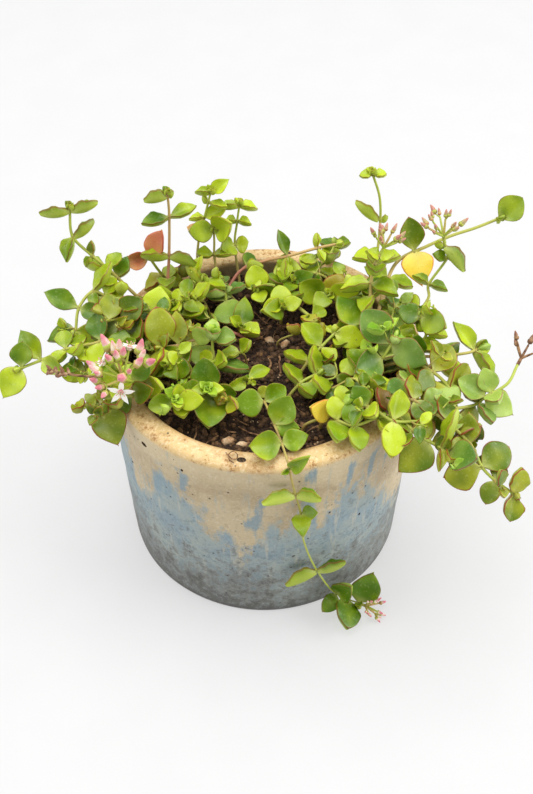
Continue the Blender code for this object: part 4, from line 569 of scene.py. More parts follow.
def free_root(wanted, taken):
    """The place nearest to the wanted one that keeps clear of the others."""
    for step in range(ROOT_TRIALS):
        reach = ROOT_STEP * sqrt(step)
        turn = step * SPIRAL_TURN
        x = wanted[0] + reach * cos(turn)
        y = wanted[1] + reach * sin(turn)
        inside = hypot(x, y) <= ROOT_LIMIT
        apart = all(hypot(x - a, y - b) >= ROOT_SPACING for a, b in taken)
        off_chips = all(hypot(x - a, y - b) >= s * 0.6 + 2.2 for a, b, s in CHIPS)
        if inside and apart and off_chips:
            taken.append((x, y))
            return x, y
    raise ValueError("no room for a root")


def stem_route(root, route):
    """Control points from the bottom of the soil hole to the tip."""
    top = soil_height(*root)
    foot = Vector((root[0], root[1], top - HOLE_DEPTH + GAP))
    collar = Vector((root[0], root[1], top + STEM_COLLAR - 1.5))
    return [foot, collar] + [Vector(p) for p in route]


def stem_line(points, radius, tip_radius):
    """Points and radii along a stem, closer together where it is short."""
    line = []
    radii = []
    last = len(points) - 1
    for k in range(last):
        span = (points[k + 1] - points[k]).length
        pieces = max(1, round(span / STEM_RING_SPACING))
        for j in range(pieces):
            line.append(lengthwise(points, k + j / pieces)[0])
    end, heading = lengthwise(points, last)
    line.append(end)
    line.append(end + heading * TIP_OVERRUN)
    for k in range(len(line)):
        share = k / (len(line) - 1)
        radii.append(radius + (tip_radius - radius) * share)
    radii[-1] = tip_radius * 0.6
    return line, radii


def settle_stem(stem, crowd, draw):
    """Bends a route a little until its tube is clear of all that is placed."""
    for attempt in range(ROUTE_TRIALS):
        reach = ROUTE_STEP * attempt
        points = [p.copy() for p in stem["points"]]
        for k in range(2, len(points)):
            ease = 0.5 if k == len(points) - 1 else 1.0
            shift = Vector([draw.uniform(-1, 1) for _ in range(3)]) * reach * ease
            points[k] += shift
        line, radii = stem_line(points, stem["radius"], stem["radius"] * 0.8)
        first = next(k for k, p in enumerate(line) if p.z > points[1].z - 0.1)
        shape = tube_shape(line, radii, STEM_SIDES, CLEARANCE)
        bare = tube_shape(line[first:], radii[first:], STEM_SIDES, CLEARANCE)
        clear = crowd.is_clear(stem["name"], shape, "soil")
        if clear and in_open_air(bare[0]) and crowd.is_clear(stem["name"], bare):
            stem["points"], stem["line"], stem["radii"] = points, line, radii
            return True
    return False


def leaf_record(stem, pair, side, draw):
    """A leaf of a pair, from its place, aim and lean, and the way it faces."""
    place, lengths, aims, lean, face, width = pair
    point, heading = lengthwise(stem["points"], place + 1)
    aim = Vector(aims[side]).normalized()
    across = aim - heading * aim.dot(heading)
    if across.length < 0.2:
        across = heading.orthogonal()
    mixed = across.normalized() * 0.35 + aim * 0.65
    axis = (mixed.normalized() + heading * tan(radians(lean))).normalized()
    light = Vector(face) if face else heading * 0.45 + Vector((0, -0.3, 0.85))
    normal = light - axis * light.dot(axis)
    if normal.length < 0.15:
        normal = axis.orthogonal()
    length = lengths[side]
    wide = length * width * draw.uniform(0.93, 1.07)
    # The model's plan takes one more draw here, so this one keeps all later ones in step
    draw.random()
    return {
        "base": point,
        "axis": axis,
        "normal": normal.normalized(),
        "length": length,
        "width": wide,
        "thick": LEAF_THICKNESS if length > 8.5 else 1.1,
        "root": stem["radius"] * 0.5,
        "curl": draw.uniform(-0.02, 0.06),
    }


def turned_leaf(leaf, swing, roll, size):
    """The same leaf swung about its base, rolled about its axis and resized."""
    swung = Matrix.Rotation(radians(swing), 3, leaf["normal"])
    axis = swung @ leaf["axis"]
    rolled = Matrix.Rotation(radians(roll), 3, axis)
    return {**leaf, "axis": axis, "normal": rolled @ leaf["normal"],
            "length": leaf["length"] * size, "width": leaf["width"] * size}


def lifted_leaf(leaf, lift):
    """The same leaf raised or lowered at its tip."""
    across = leaf["normal"].cross(leaf["axis"])
    spin = Matrix.Rotation(radians(-lift), 3, across)
    return {**leaf, "axis": spin @ leaf["axis"], "normal": spin @ leaf["normal"]}


def leaf_trials(leaf):
    """The leaf as drawn, then turned further and further from it."""
    for size in (1.0, 0.9, 0.78):
        for lift in (0, 14, -14, 28, -28, 42):
            for swing in (0, 14, -14, 28, -28):
                for roll in (0, 25, -25):
                    yield turned_leaf(lifted_leaf(leaf, lift), swing, roll, size)


def settle_leaf(stem, leaf, crowd):
    """The first trial of a leaf that is clear of every other piece."""
    for trial in leaf_trials(leaf):
        shape = leaf_shape(trial, CLEARANCE)
        if in_open_air(shape[0][3:]) and crowd.is_clear(stem["name"], shape):
            return trial
    return None


def wanted_leaves(stem, draw):
    """Every leaf that a stem's pairs ask for."""
    leaves = []
    for pair in stem["pairs"]:
        usual = (UPWARD, LEAF_WIDTH) if len(pair) == 4 else ()
        place, lengths, aims, lean, face, width = (*pair, *usual)
        if isinstance(aims[0], (int, float)):
            aims = (aims, tuple(-c for c in aims))
        pair = (place, lengths, aims, lean, face, width)
        leaves += [leaf_record(stem, pair, side, draw) for side in (0, 1)]
    return leaves


def grow_leaves(stems, crowd, draw):
    """Sets every leaf, the longest first, and leaves out what finds no room."""
    wanted = []
    for stem in stems:
        wanted += [(leaf["length"], stem, leaf) for leaf in wanted_leaves(stem, draw)]
    wanted.sort(key=lambda item: -item[0])
    for _, stem, leaf in wanted:
        settled = settle_leaf(stem, leaf, crowd)
        if settled:
            stem["leaves"].append(settled)
            crowd.add(stem["name"], leaf_shape(settled))


def head_record(head, stems, crowd, draw):
    """A flower head: short stalks that spread from the tip, each with a bud."""
    name, colour, carrier, buds, spread, reach, stars = head
    stem = next(s for s in stems if s["name"] == carrier)
    tip, heading = stem["line"][-1], (stem["line"][-1] - stem["line"][-2]).normalized()
    aim = (heading + Vector((0, 0, 0.8))).normalized()
    side = aim.orthogonal().normalized()
    other = aim.cross(side)
    base = tip + heading * GAP
    record = {"name": name, "colour": colour, "base": base, "heading": heading, "twigs": []}
    for k in range(buds):
        share = sqrt((k + 0.4) / buds)
        tilt = radians(spread) * share
        turn = k * SPIRAL_TURN + draw.uniform(-0.2, 0.2)
        fan = side * cos(turn) + other * sin(turn)
        axis = (aim * cos(tilt) + fan * sin(tilt)).normalized()
        kind = "star" if k >= buds - stars else "bud"
        twig = {"axis": axis, "reach": reach * draw.uniform(0.75, 1.1), "kind": kind,
                "base": base + heading * HEAD_CORE}
        if twig_clear(name, twig, crowd):
            record["twigs"].append(twig)
            for shape in twig_shapes(twig, 0.0):
                crowd.add(name, shape)
    return record


def twig_shapes(twig, grow):
    """The stalk and the bud or star at the end of one twig."""
    end = twig["base"] + twig["axis"] * twig["reach"]
    start = twig["base"] + twig["axis"] * (HEAD_CORE * 0.5)
    shapes = [tube_shape([start, end], [TWIG_RADIUS, TWIG_RADIUS], 3, grow)]
    if twig["kind"] == "bud":
        centre = end + twig["axis"] * BUD_LENGTH * 0.3
        shapes.append(bud_shape(centre, twig["axis"], BUD_LENGTH + grow * 2, BUD_WIDTH + grow * 2))
        return shapes
    shapes.append(bud_shape(end, twig["axis"], 2.4 + grow * 2, 1.9 + grow * 2))
    side = twig["axis"].orthogonal().normalized()
    other = twig["axis"].cross(side)
    for k in range(5):
        turn = 2 * pi * k / 5
        out = (side * cos(turn) + other * sin(turn)) + twig["axis"] * 0.35
        axis = out.normalized()
        centre = end + axis * (PETAL_LENGTH * 0.5 + 0.3)
        shapes.append(bud_shape(centre, axis, PETAL_LENGTH + grow * 2, PETAL_WIDTH + grow * 2))
    return shapes


def twig_clear(name, twig, crowd):
    shapes = twig_shapes(twig, CLEARANCE)
    return all(in_open_air(s[0]) and crowd.is_clear(name, s) for s in shapes)


def filler_stem(number, middle, lean, draw):
    """A short leafy stem for a gap, from a rule and seeded draws."""
    x, y = middle
    route = []
    height = SOIL_TOP + STEM_COLLAR
    for k in range(3):
        x += lean[0] * 5 + draw.uniform(-1.5, 1.5)
        y += lean[1] * 5 + draw.uniform(-1.5, 1.5)
        height += draw.uniform(2.5, 4.0)
        route.append((x, y, height))
    pairs = []
    turn = draw.uniform(0, pi)
    for k, length in enumerate((9, 10, 7)):
        aim = (cos(turn), sin(turn), 0.15)
        pairs.append((k + 1, (length, length), aim, 15))
        turn += pi / 2
    return ("filler_%d" % (number + 1), "green", 0.95, middle, route, pairs)


def plan_plant():
    """All stems, leaves and heads, each kept clear of the others."""
    draw = random.Random(SEED)
    crowd = Crowd()
    crowd.add("pot", pot_shape())
    crowd.add("soil", soil_shape())
    for k in range(len(CHIPS)):
        crowd.add("soil", chip_shape(k))
    table = list(STEMS)
    table += [filler_stem(k, *filler, draw) for k, filler in enumerate(FILLERS)]
    table.append(("dry_stalk", "dry", *DRY_STALK, []))
    taken = []
    stems = []
    for name, colour, radius, root, route, pairs in table:
        root = free_root(root, taken)
        stems.append({"name": name, "colour": colour, "radius": radius, "root": root,
                      "leaves": [], "points": stem_route(root, route), "pairs": pairs})
    for stem in stems:
        if not settle_stem(stem, crowd, draw):
            raise ValueError("no clear route for " + stem["name"])
        crowd.add(stem["name"], tube_shape(stem["line"], stem["radii"], STEM_SIDES))
    heads = [head_record(head, stems, crowd, draw) for head in HEADS]
    grow_leaves(stems, crowd, draw)
    return stems, heads, crowd


def chip_shape(number):
    """One pumice chip: a lumpy six-faced stone, half sunk in the soil."""
    x, y, size = CHIPS[number]
    draw = random.Random(SEED + 100 + number)
    centre = Vector((x, y, soil_height(x, y) - size * 0.05))
    verts = []
    spin = draw.uniform(0, pi)
    for level, reach in ((-0.3, 0.6), (0.42, 0.36)):
        for k in range(4):
            turn = spin + pi / 2 * k + level
            wide = size * reach * draw.uniform(0.85, 1.15)
            verts.append(centre + Vector((wide * cos(turn), wide * sin(turn),
                                          size * level)))
    faces = [(3, 2, 1, 0), (4, 5, 6, 7)]
    for k in range(4):
        nxt = (k + 1) % 4
        faces.append((k, nxt, nxt + 4, k + 4))
    return verts, faces


# Camera of the photograph: place in metres, tilt from straight down in degrees
CAMERA_PLACE = (0.0008, -0.3103, 0.3936)
CAMERA_TILT = 43.52
CAMERA_LENS = 51.81

# Soft boxes: place and aim in metres, size, power in watts
LIGHTS = (
    ("high soft box", (-0.10, 0.20, 1.15), (0, 0, 0.05), 1.0, 12.5),
    ("left soft box", (-0.90, -0.35, 0.60), (0, 0, 0.06), 0.8, 4.2),
    ("right soft box", (0.95, -0.10, 0.50), (0, 0, 0.06), 0.8, 9.0),
)
ROOM_LIGHT = 0.54
# Glow of the floor: painted light that fades the shadows cast on it
FLOOR_PAINTED_LIGHT = 0.49
FLOOR_REACH = 3.0

# Blades of the fine leaves: where across the blade its points lie, above and below,
# then crown, keel and bends, and the groove and ripple of the upper side
TOP_ACROSS = (-1.0, -0.96, -0.85, -0.62, -0.32, 0.0, 0.32, 0.62, 0.85, 0.96, 1.0)
KEEL_ACROSS = (0.93, 0.68, 0.35, 0.0, -0.35, -0.68, -0.93)
CROWN = 0.28
KEEL = 0.78
BEND = 6.0
GROOVE_DEPTH = 0.16
GROOVE_WIDTH = 0.22
RIPPLE = 0.02

# Blade outlines: name, cross-sections, where it is widest, bluntness of the foot and
# of the tip, droop of the tip, lift of the margins and length of the small point
BLADES = (
    ("blade_a_round", 16, 0.47, 0.50, 0.58, 0.07, 0.06, 0.040),
    ("blade_b_heart", 16, 0.36, 0.40, 0.88, 0.10, 0.08, 0.050),
    ("blade_c_spoon", 16, 0.49, 0.78, 0.70, -0.05, 0.12, 0.030),
    ("blade_d_egg", 16, 0.42, 0.52, 0.84, -0.04, 0.06, 0.050),
    ("blade_e_cupped", 16, 0.45, 0.58, 0.74, -0.12, 0.17, 0.040),
    ("blade_f_narrow", 14, 0.42, 0.70, 0.95, 0.05, 0.14, 0.030),
    ("blade_g_narrow", 14, 0.48, 0.75, 0.88, -0.06, 0.10, 0.030),
    ("blade_h_young", 8, 0.46, 0.55, 0.78, -0.08, 0.12, 0.030),
)
PETAL_BLADE = ("part_c_petal", 9, 0.42, 0.50, 1.10, 0.10, 0.12, 0.030)
ROUND_BLADES = 5
NARROW_BLADES = (5, 6)
YOUNG_BLADE = 7
YOUNG_LENGTH = 5.0
# A leaf narrower than this share of its length takes a narrow blade
NARROW_LEAF = 0.66
FLESH = 2.1
# How far a leaf turns off its plan, in degrees
LEAF_ROLL = 17.0
LEAF_NOD = 9.0
CALM_UNREST = 0.25

# Fine stems
SHOOT_STEP = 0.9
SHOOT_SIDES = 10
SHOOT_TAPER = 0.28
JOINT_SWELL = 0.42
JOINT_REACH = 0.7
THIN = 0.74
FRONT_THIN = 0.6

# Young leaves at a stem's tip: length and lean towards the tip in degrees
TIP_PAIRS = ((5.0, 24), (3.4, 46), (2.0, 60))
PLAIN_TIP = 0.6
TIP_STEP = 0.5
TIP_WIDTH = 0.7

# Side twigs: trials a stem, the most a stem bears, reach, leaf length and radius
SIDE_TRIALS = 16
SIDE_TWIGS = 3
SIDE_REACH = (2.5, 7.0)
SIDE_LEAF = (4.4, 7.8)
SIDE_WIDTH = (0.62, 0.85)
SIDE_RADIUS = 0.45
SIDE_ROOM = 0.12
SIDE_REGION = 24.0

# Creeping stems between the others: trials, radius, leaf length, where their roots
# lie from the axis, and the length and the climb of each step
RUNNERS = 30
RUNNER_RADIUS = 0.62
RUNNER_LEAF = (5.2, 9.0)
RUNNER_INNER = (6, 26)
RUNNER_OUTER = (24, 42)
RUNNER_STEP = (5, 9)
RUNNER_CLIMB = (0.8, 4.5)
RUNNER_LIMIT = 54.0

# Tint of a stem's skin, from green to tan and rose
STEM_TINT = {"left_pink": 1.0, "back_left_tall": 0.95, "back_pink": 0.95, "right_bloom_dark": 0.8,
             "front_trailing": 0.3, "right_long": 0.65, "left_tall": 0.3, "right_pointed": 0.75}

# Stems that end in a full tuft of young leaves
ROSETTES = ("right_big_blue", "right_rosette", "right_brown_edged", "centre_rosette",
            "left_big_round", "front_left_rosette", "front_left_dark", "right_pointed",
            "front_yellow")

# Stems whose leaves mostly aren't the colour of their node, and odd leaves, counted
# in the order that they settle, the longest first
STEM_FINISH = {"right_long": "green", "front_yellow": "lime", "front_left_rosette": "green"}
ODD_LEAVES = {
    "right_long": {0: "yellow", 2: "olive"},
    "front_yellow": {0: "yellow"},
    "back_left_red": {2: "olive", 3: "olive"},
    "right_brown_edged": {2: "russet", 5: "russet", 3: "blue", 1: "green"},
    "back_left_thin": {4: "red"},
    "left_tall": {8: "olive"},
    "right_inner_round": {2: "olive"},
    "front_trailing": dict.fromkeys((3, 4, 5, 8, 9, 10, 11, 12, 13, 14, 16, 18), "lime"),
}

# Leaves whose width and length are these times the plan's, counted the same way
RESHAPED_LEAVES = {
    "right_long": {0: (1.4, 1.1), 2: (1.2, 1.3)},
    "front_trailing": {5: (0.45, 1.0), 13: (0.5, 1.0), 2: (0.6, 1.0), 6: (0.6, 1.0)},
}

# Range of leaf age from deep to light, where a stem isn't mixed
LEAF_AGE = {
    "front_trailing": (0.0, 0.35), "back_left_tall": (0.1, 0.6), "left_tall": (0.2, 0.6),
    "back_left_thin": (0.6, 1.0), "back_small": (0.6, 1.0), "back_hearts": (0.3, 0.8),
    "front_left_rosette": (0.4, 0.9), "right_tall": (0.4, 0.9), "right_long": (0.2, 0.5),
    "left_front": (0.0, 0.35), "left_pink": (0.2, 0.7), "right_brown_edged": (0.1, 0.6),
    "right_trailing": (0.0, 0.7), "back_left_red": (0.4, 0.9),
}

# Stems whose leaves hardly turn off the plan, and stems that bear no side twigs
CALM_STEMS = ("front_trailing", "left_tall", "back_left_tall", "right_tall", "right_long",
              "left_low")
BARE_STEMS = ("left_tall", "back_left_tall", "back_left_thin", "back_small", "back_hearts",
              "back_left_red", "back_pink", "right_tall", "right_long", "right_bloom_dark",
              "right_bloom_pale", "right_pointed", "right_rosette", "left_low", "front_trailing")

# Fine flower heads: buds on each stalk, their size, and the finish of buds and stalks
FINE_HEADS = {
    "left_bloom_head": (3, 1.35, "pink_buds", "shoot"),
    "right_dark_buds": (2, 0.8, "brown_buds", "shoot"),
    "right_pale_buds": (2, 0.8, "brown_buds", "shoot"),
    "right_rosette_buds": (1, 0.8, "dry_buds", "dry"),
    "front_trailing_buds": (3, 0.6, "pink_buds", "shoot"),
}
# A stalk that carries an open star in place of buds
STAR_STALK = ("left_bloom_head", 6)
CLUSTER_SPREAD = 48.0
# Radii of a head's neck and of its stalks, which taper, and of the buds' own stalks
NECK_RADII = (0.7, 0.62)
STALK_RADIUS = 0.52
STALK_TAPER = 0.14
PEDICEL_RADII = (0.26, 0.24)
# Width and length of a bud and of the parts of an open star; a cup's length
FINE_BUD = (2.0, 4.6)
CUP_LENGTH = 1.9
STAR_CUP = (2.0, 2.0, 1.7)
PISTIL = (0.55, 0.55, 1.44)
ANTHER = (0.45, 0.45, 0.55)
STAMEN = 2.4
PETAL_SIZE = (PETAL_WIDTH * 1.15, PETAL_LENGTH, 0.42)

# Dried husks along the end of the brown stalk: number, run, width and length
HUSKS = 13
HUSK_RUN = 1.2
HUSK_WIDTH = (1.2, 1.8)
HUSK_LENGTH = (2.2, 3.4)

# Profiles of a bud and of a calyx cup: radius and height, from foot to tip
BUD_PROFILE = ((0.14, 0.0), (0.4, 0.1), (0.5, 0.3), (0.46, 0.52), (0.32, 0.74), (0.16, 0.92),
               (0.0, 1.0))
CUP_PROFILE = ((0.14, 0.0), (0.42, 0.16), (0.54, 0.5), (0.55, 0.85), (0.45, 1.0), (0.0, 0.9))

# Fine pot: its foot's shallow recess, the unevenness of a thrown wall and of its rim
FINE_SIDES = 360
WALL_STEPS = 60
WELL_STEPS = 12
CORNER_STEPS = 6
FOOT_RECESS = 0.6
THROWING_WAVE = 0.16
RIM_WAVES = (0.12, 0.07)
# Open pits: turn from the right in degrees, height and width
PITS = (
    (-136, 86.0, 2.6), (-119, 84.5, 1.7), (-122, 88.6, 1.2), (-66, 62.0, 1.0),
    (-104, 47.0, 1.1), (-79, 39.0, 1.0), (-52, 51.0, 1.2), (-35, 70.0, 1.3),
    (-148, 64.0, 1.2), (40, 60.0, 1.6), (95, 44.0, 1.3), (150, 72.0, 1.8),
)
# Pits in the rim: turn, radius and width
RIM_PITS = ((-98, 56.0, 2.6), (-52, 57.5, 1.6), (165, 55.5, 1.8), (80, 56.2, 2.0))

# Where the beige glaze ends on the wall: turn in degrees and height
GLAZE_LINE = (
    (-180, 74), (-158, 74), (-150, 66), (-144, 52), (-136, 58), (-128, 74), (-119, 62),
    (-112, 58), (-106, 48), (-97, 42), (-88, 50), (-83, 54), (-77, 70), (-74, 84),
    (-70, 54), (-65, 66), (-58, 70), (-50, 62), (-42, 54), (-34, 36), (-24, 34),
    (-8, 46), (6, 62), (22, 50), (45, 70), (68, 56), (90, 74), (112, 50), (135, 66), (158, 54),
    (180, 74),
)
# Blue runs over the beige: turn, top and bottom height, half width in degrees
BLUE_RUNS = (
    (-129, 76, 57, 6.5), (-121, 86, 79, 2.2), (-118.5, 84, 66, 2.2), (-94, 65, 54, 4.0),
    (-90.4, 79, 53, 2.0), (-75, 92, 80, 1.7), (-72.6, 92, 82, 1.2), (-57.5, 89, 71, 2.0),
    (-48, 89, 69, 2.2), (-41, 82, 66, 1.6), (-27, 84, 62, 2.4), (-14, 90, 66, 3.0),
    (8, 88, 58, 4.0), (33, 92, 70, 2.4), (52, 84, 62, 3.0), (80, 93, 66, 2.6),
    (104, 86, 60, 4.2), (126, 92, 72, 2.4), (150, 86, 64, 3.4), (170, 92, 70, 2.4),
)
RUN_SLANT = 0.14
# Height over which a run fades in at its top and out at its bottom
RUN_TOP_FADE = 3.0
RUN_END_FADE = 7.0

# Fine soil
SOIL_FINE_SIDES = 120
SOIL_FINE_STEP = 1.2
SOIL_GRAIN = 0.45
# Rootlets on the soil: number, spread, limit, length of a step and radii
ROOTLETS = 60
ROOTLET_SPREAD = 44
ROOTLET_LIMIT = 48.5
ROOTLET_STEP = 1.7
ROOTLET_RADII = (0.16, 0.2, 0.28, 0.45)
# A dry rootlet that curls up over the front rim
RIM_ROOT = ((-13, -46, 88.5), (-13.5, -50, 91.5), (-13, -53, 94.6), (-11.4, -55.2, 94.5),
            (-9.6, -55.6, 94.5), (-9.2, -53.8, 94.7), (-10.6, -52.8, 95.3), (-12.2, -54.0, 95.2),
            (-12.0, -56.0, 94.6), (-10.4, -57.2, 94.4))
RIM_ROOT_RADIUS = 0.2

# Strewn over the soil: piece, shapes, finish, pieces a square metre, least and
# greatest size, seed
STREWN = (
    ("soil_crumbs", "grains", "soil", 620000, 0.6, 1.7, 3),
    ("soil_clods", "clods", "clods", 110000, 1.4, 3.2, 4),
    ("soil_bark", "clods", "bark", 45000, 1.3, 3.4, 5),
    ("soil_grit", "grains", "pumice", 26000, 0.6, 1.5, 6),
)

# Living leaves: short name, sort, deep and light colour, underside, margin, the share
# of the margin that is coloured and how much it spreads over the blade
LEAVES = (
    ("green", "green", "#4a6e04", "#b0c222", "#b2be50", "#7c4422", 0.6, 0.0),
    ("lime", "lime", "#6a8a06", "#acbc1c", "#c2cc5e", "#96602a", 0.4, 0.0),
    ("blue", "blue-green", "#527624", "#a0b850", "#b0c078", "#8a5232", 0.7, 0.0),
    ("olive", "olive", "#526c08", "#a8ac26", "#b0ac4c", "#88381e", 0.9, 0.35),
    ("young", "young", "#64941c", "#a2c032", "#b8cc68", "#7a7a2c", 0.2, 0.0),
    ("red", "reddened", "#98923a", "#d48a5e", "#c89c78", "#b5452e", 0.9, 0.5),
    ("russet", "russet", "#6c5420", "#988238", "#958048", "#802c1a", 1.0, 0.7),
    ("yellow", "yellow", "#ccae24", "#ead048", "#e2d080", "#c07028", 0.8, 0.2),
)
# Petals: short name, sort, pale and deep colour, and where the deep colour starts
PETALS = (
    ("white_stars", "white waxy petal", "#f7f3ea", "#e6bdb6", 1.35),
    ("pink_buds", "pink waxy petal", "#f3e4d0", "#d27c88", 0.80),
    ("brown_buds", "rose-brown waxy petal", "#b4a874", "#b87e6e", 0.70),
    ("dry_buds", "dried petal", "#b59a74", "#845a44", 0.6),
)
# Potting mix: short name, sort, dark and light colour, roughness
EARTHS = (
    ("soil", "damp peat", "#2a1b10", "#523a25", 0.95),
    ("clods", "crumbled peat", "#3e2a1a", "#7a5b3e", 0.92),
    ("bark", "composted bark", "#523820", "#977048", 0.85),
)
# The model's finish for each short name
SLOTS = {"green": "green_leaf", "lime": "lime_leaf", "blue": "blue_green_leaf",
         "olive": "olive_leaf", "red": "red_leaf", "yellow": "yellow_leaf",
         "dry": "dry_stalk", "bloom": "blossom", "russet": "olive_leaf", "young": "lime_leaf"}

NOISE = "ShaderNodeTexNoise"
CELLS = "ShaderNodeTexVoronoi"
MATH = "ShaderNodeMath"
MIX = "ShaderNodeMix"
RANGE = "ShaderNodeMapRange"
FIELD = "ShaderNodeAttribute"


# Nodes and finishes


def hexed(code):
    """Linear colour of an sRGB hex value."""
    parts = [int(code[k:k + 2], 16) / 255 for k in (1, 3, 5)]
    return (*[p / 12.92 if p <= 0.04045 else ((p + 0.055) / 1.055) ** 2.4 for p in parts], 1.0)


def add(tree, kind, inputs=None, out=0, **settings):
    """Adds a node with its settings, values and links; returns one of its outputs."""
    node = tree.nodes.new(kind)
    for name, value in settings.items():
        setattr(node, name, value)
    for key, value in (inputs or {}).items():
        if isinstance(value, bpy.types.NodeSocket):
            tree.links.new(value, node.inputs[key])
        else:
            node.inputs[key].default_value = value
    return node.outputs[out] if len(node.outputs) else node


def new_finish(name, constants, patterns, fields=()):
    """A material with constants on its shader. Returns it, its tree and what its
    patterns and stored fields put out. A pattern is its kind, its grain in mm, its
    detail and its roughness."""
    material = bpy.data.materials.new(name)
    material.use_nodes = True
    tree = material.node_tree
    for key, value in constants.items():
        tree.nodes["Principled BSDF"].inputs[key].default_value = value
    place = add(tree, "ShaderNodeTexCoord", out="Object")
    outs = [add(tree, kind, {"Vector": place, "Scale": 1000 / grain, "Detail": detail,
                             "Roughness": rough}) for kind, grain, detail, rough in patterns]
    outs += [add(tree, FIELD, out="Fac", attribute_name=field) for field in fields]
    return material, tree, outs


def paint(tree, colour, layers):
    """Lays colours over a first one. A layer is a pattern, the values where it starts
    and is full, its strength, and its colour."""
    colour = hexed(colour) if isinstance(colour, str) else colour
    for pattern, start, full, strength, code in layers:
        share = add(tree, RANGE, {0: pattern, 1: start, 2: full, 4: strength},
                    interpolation_type="SMOOTHSTEP")
        over = hexed(code) if isinstance(code, str) else code
        colour = add(tree, MIX, {0: share, 6: colour, 7: over}, out=2, data_type="RGBA")
    return colour


def dress(material, colour, height=None, depth=0.1):
    """Links the colour, and the height of a fine relief, depth in mm."""
    tree = material.node_tree
    shader = tree.nodes["Principled BSDF"]
    tree.links.new(colour, shader.inputs["Base Color"])
    if height:
        relief = add(tree, "ShaderNodeBump", {"Height": height, "Distance": depth * MM,
                                              "Strength": 0.6})
        tree.links.new(relief, shader.inputs["Normal"])
    return material


def leaf_finish(sort, dark, light, under, margin, margin_share, blush):
    """Skin of a living succulent leaf, grown smooth and waxy over wet flesh: a soft
    sheen, a little light through thin edges, darker pores, a fine coloured margin.
    Pores are 0.1 mm wide on the plant and drawn 0.3 mm wide, 1.4 mm apart, to show."""
    constants = {"Roughness": 0.34, "IOR": 1.40, "Subsurface Weight": 0.16,
                 "Subsurface Scale": 0.0016, "Subsurface Radius": (0.7, 1.0, 0.15)}
    patterns = ((NOISE, 9.0, 1.0, 0.5), (NOISE, 1.0, 2.0, 0.5), (CELLS, 1.4, 0.0, 0.5))
    material, tree, outs = new_finish("waxy %s leaf" % sort, constants, patterns,
                                         ("tint", "along", "under", "rim"))
    patches, fine, pores, tint, along, keel, rim = outs
    # The leaf's own tint, plus the 9 mm patches, which lay a light-to-dark gradient across each blade:
    # painted shading for the light that falls across a fleshy leaf
    age = add(tree, MATH, {0: patches, 1: 1.3, 2: tint}, operation="MULTIPLY_ADD")
    edge = add(tree, MATH, {0: patches, 1: 0.35, 2: rim}, operation="MULTIPLY_ADD")
    colour = paint(tree, dark, (
        (age, 0.55, 1.65, 1.0, light),
        (fine, 0.55, 0.75, 0.12, "#e4e6a0"),
        (along, 0.28, 0.0, 0.55, "#c6c873"),
        (keel, 0.05, 0.8, 0.6, under),
        (age, 1.40, 1.75, blush, margin),
        (pores, 0.20, 0.09, 0.28, "#3c4a18"),
        (edge, 0.80, 0.94, margin_share, margin),
    ))
    return dress(material, colour, fine, 0.10)


def shoot_finish():
    """Skin of a young succulent stem, grown smooth: green at the tip, and lower down drying to tan and
    rose, with a darker ring at each pair of leaves."""
    constants = {"Roughness": 0.5, "IOR": 1.42, "Subsurface Weight": 0.1,
                 "Subsurface Scale": 0.001, "Subsurface Radius": (1.0, 0.7, 0.3)}
    patterns = ((NOISE, 3.0, 3.0, 0.5), (NOISE, 0.6, 2.0, 0.5))
    material, tree, outs = new_finish("succulent stem skin", constants, patterns,
                                         ("along", "tint", "joint"))
    patches, fine, along, warmth, joint = outs
    young = paint(tree, "#a9b548", ((warmth, 0.5, 1.0, 0.8, "#c49a6c"),))
    age = add(tree, MATH, {0: patches, 1: 0.35, 2: along}, operation="MULTIPLY_ADD")
    colour = paint(tree, "#b0a058", (
        (patches, 0.35, 0.7, 0.8, "#977a48"),
        (warmth, 0.55, 1.0, 0.9, "#bd7468"),
        (age, 0.45, 1.0, 1.0, young),
        (joint, 0.35, 1.0, 0.5, "#80603a"),
    ))
    return dress(material, colour, fine, 0.15)


def dry_finish():
    """Dead stalk and root, dried to bare fibre: dull brown, wrinkled along."""
    material, tree, outs = new_finish("dried plant fibre", {"Roughness": 0.85}, (
        (NOISE, 2.0, 4.0, 0.5), (NOISE, 0.4, 2.0, 0.5)))
    patches, fine = outs
    colour = paint(tree, "#5d3e29", ((patches, 0.35, 0.7, 1.0, "#a67e56"),))
    return dress(material, colour, fine, 0.2)


def petal_finish(sort, pale, deep, start):
    """Waxy flower petals, grown thin enough to pass light, deeper at the tips."""
    constants = {"Roughness": 0.5, "IOR": 1.40, "Subsurface Weight": 0.25,
                 "Subsurface Scale": 0.0012, "Subsurface Radius": (1.0, 0.8, 0.7)}
    material, tree, outs = new_finish(sort, constants, ((NOISE, 1.2, 2.0, 0.5),),
                                         ("along", "tint"))
    patches, along, tint = outs
    flush = add(tree, MATH, {0: patches, 1: 0.6, 2: along}, operation="MULTIPLY_ADD")
    flush = add(tree, MATH, {0: tint, 1: 0.6, 2: flush}, operation="MULTIPLY_ADD")
    colour = paint(tree, pale, ((flush, start, start + 0.7, 1.0, deep),))
    return dress(material, colour, patches, 0.08)


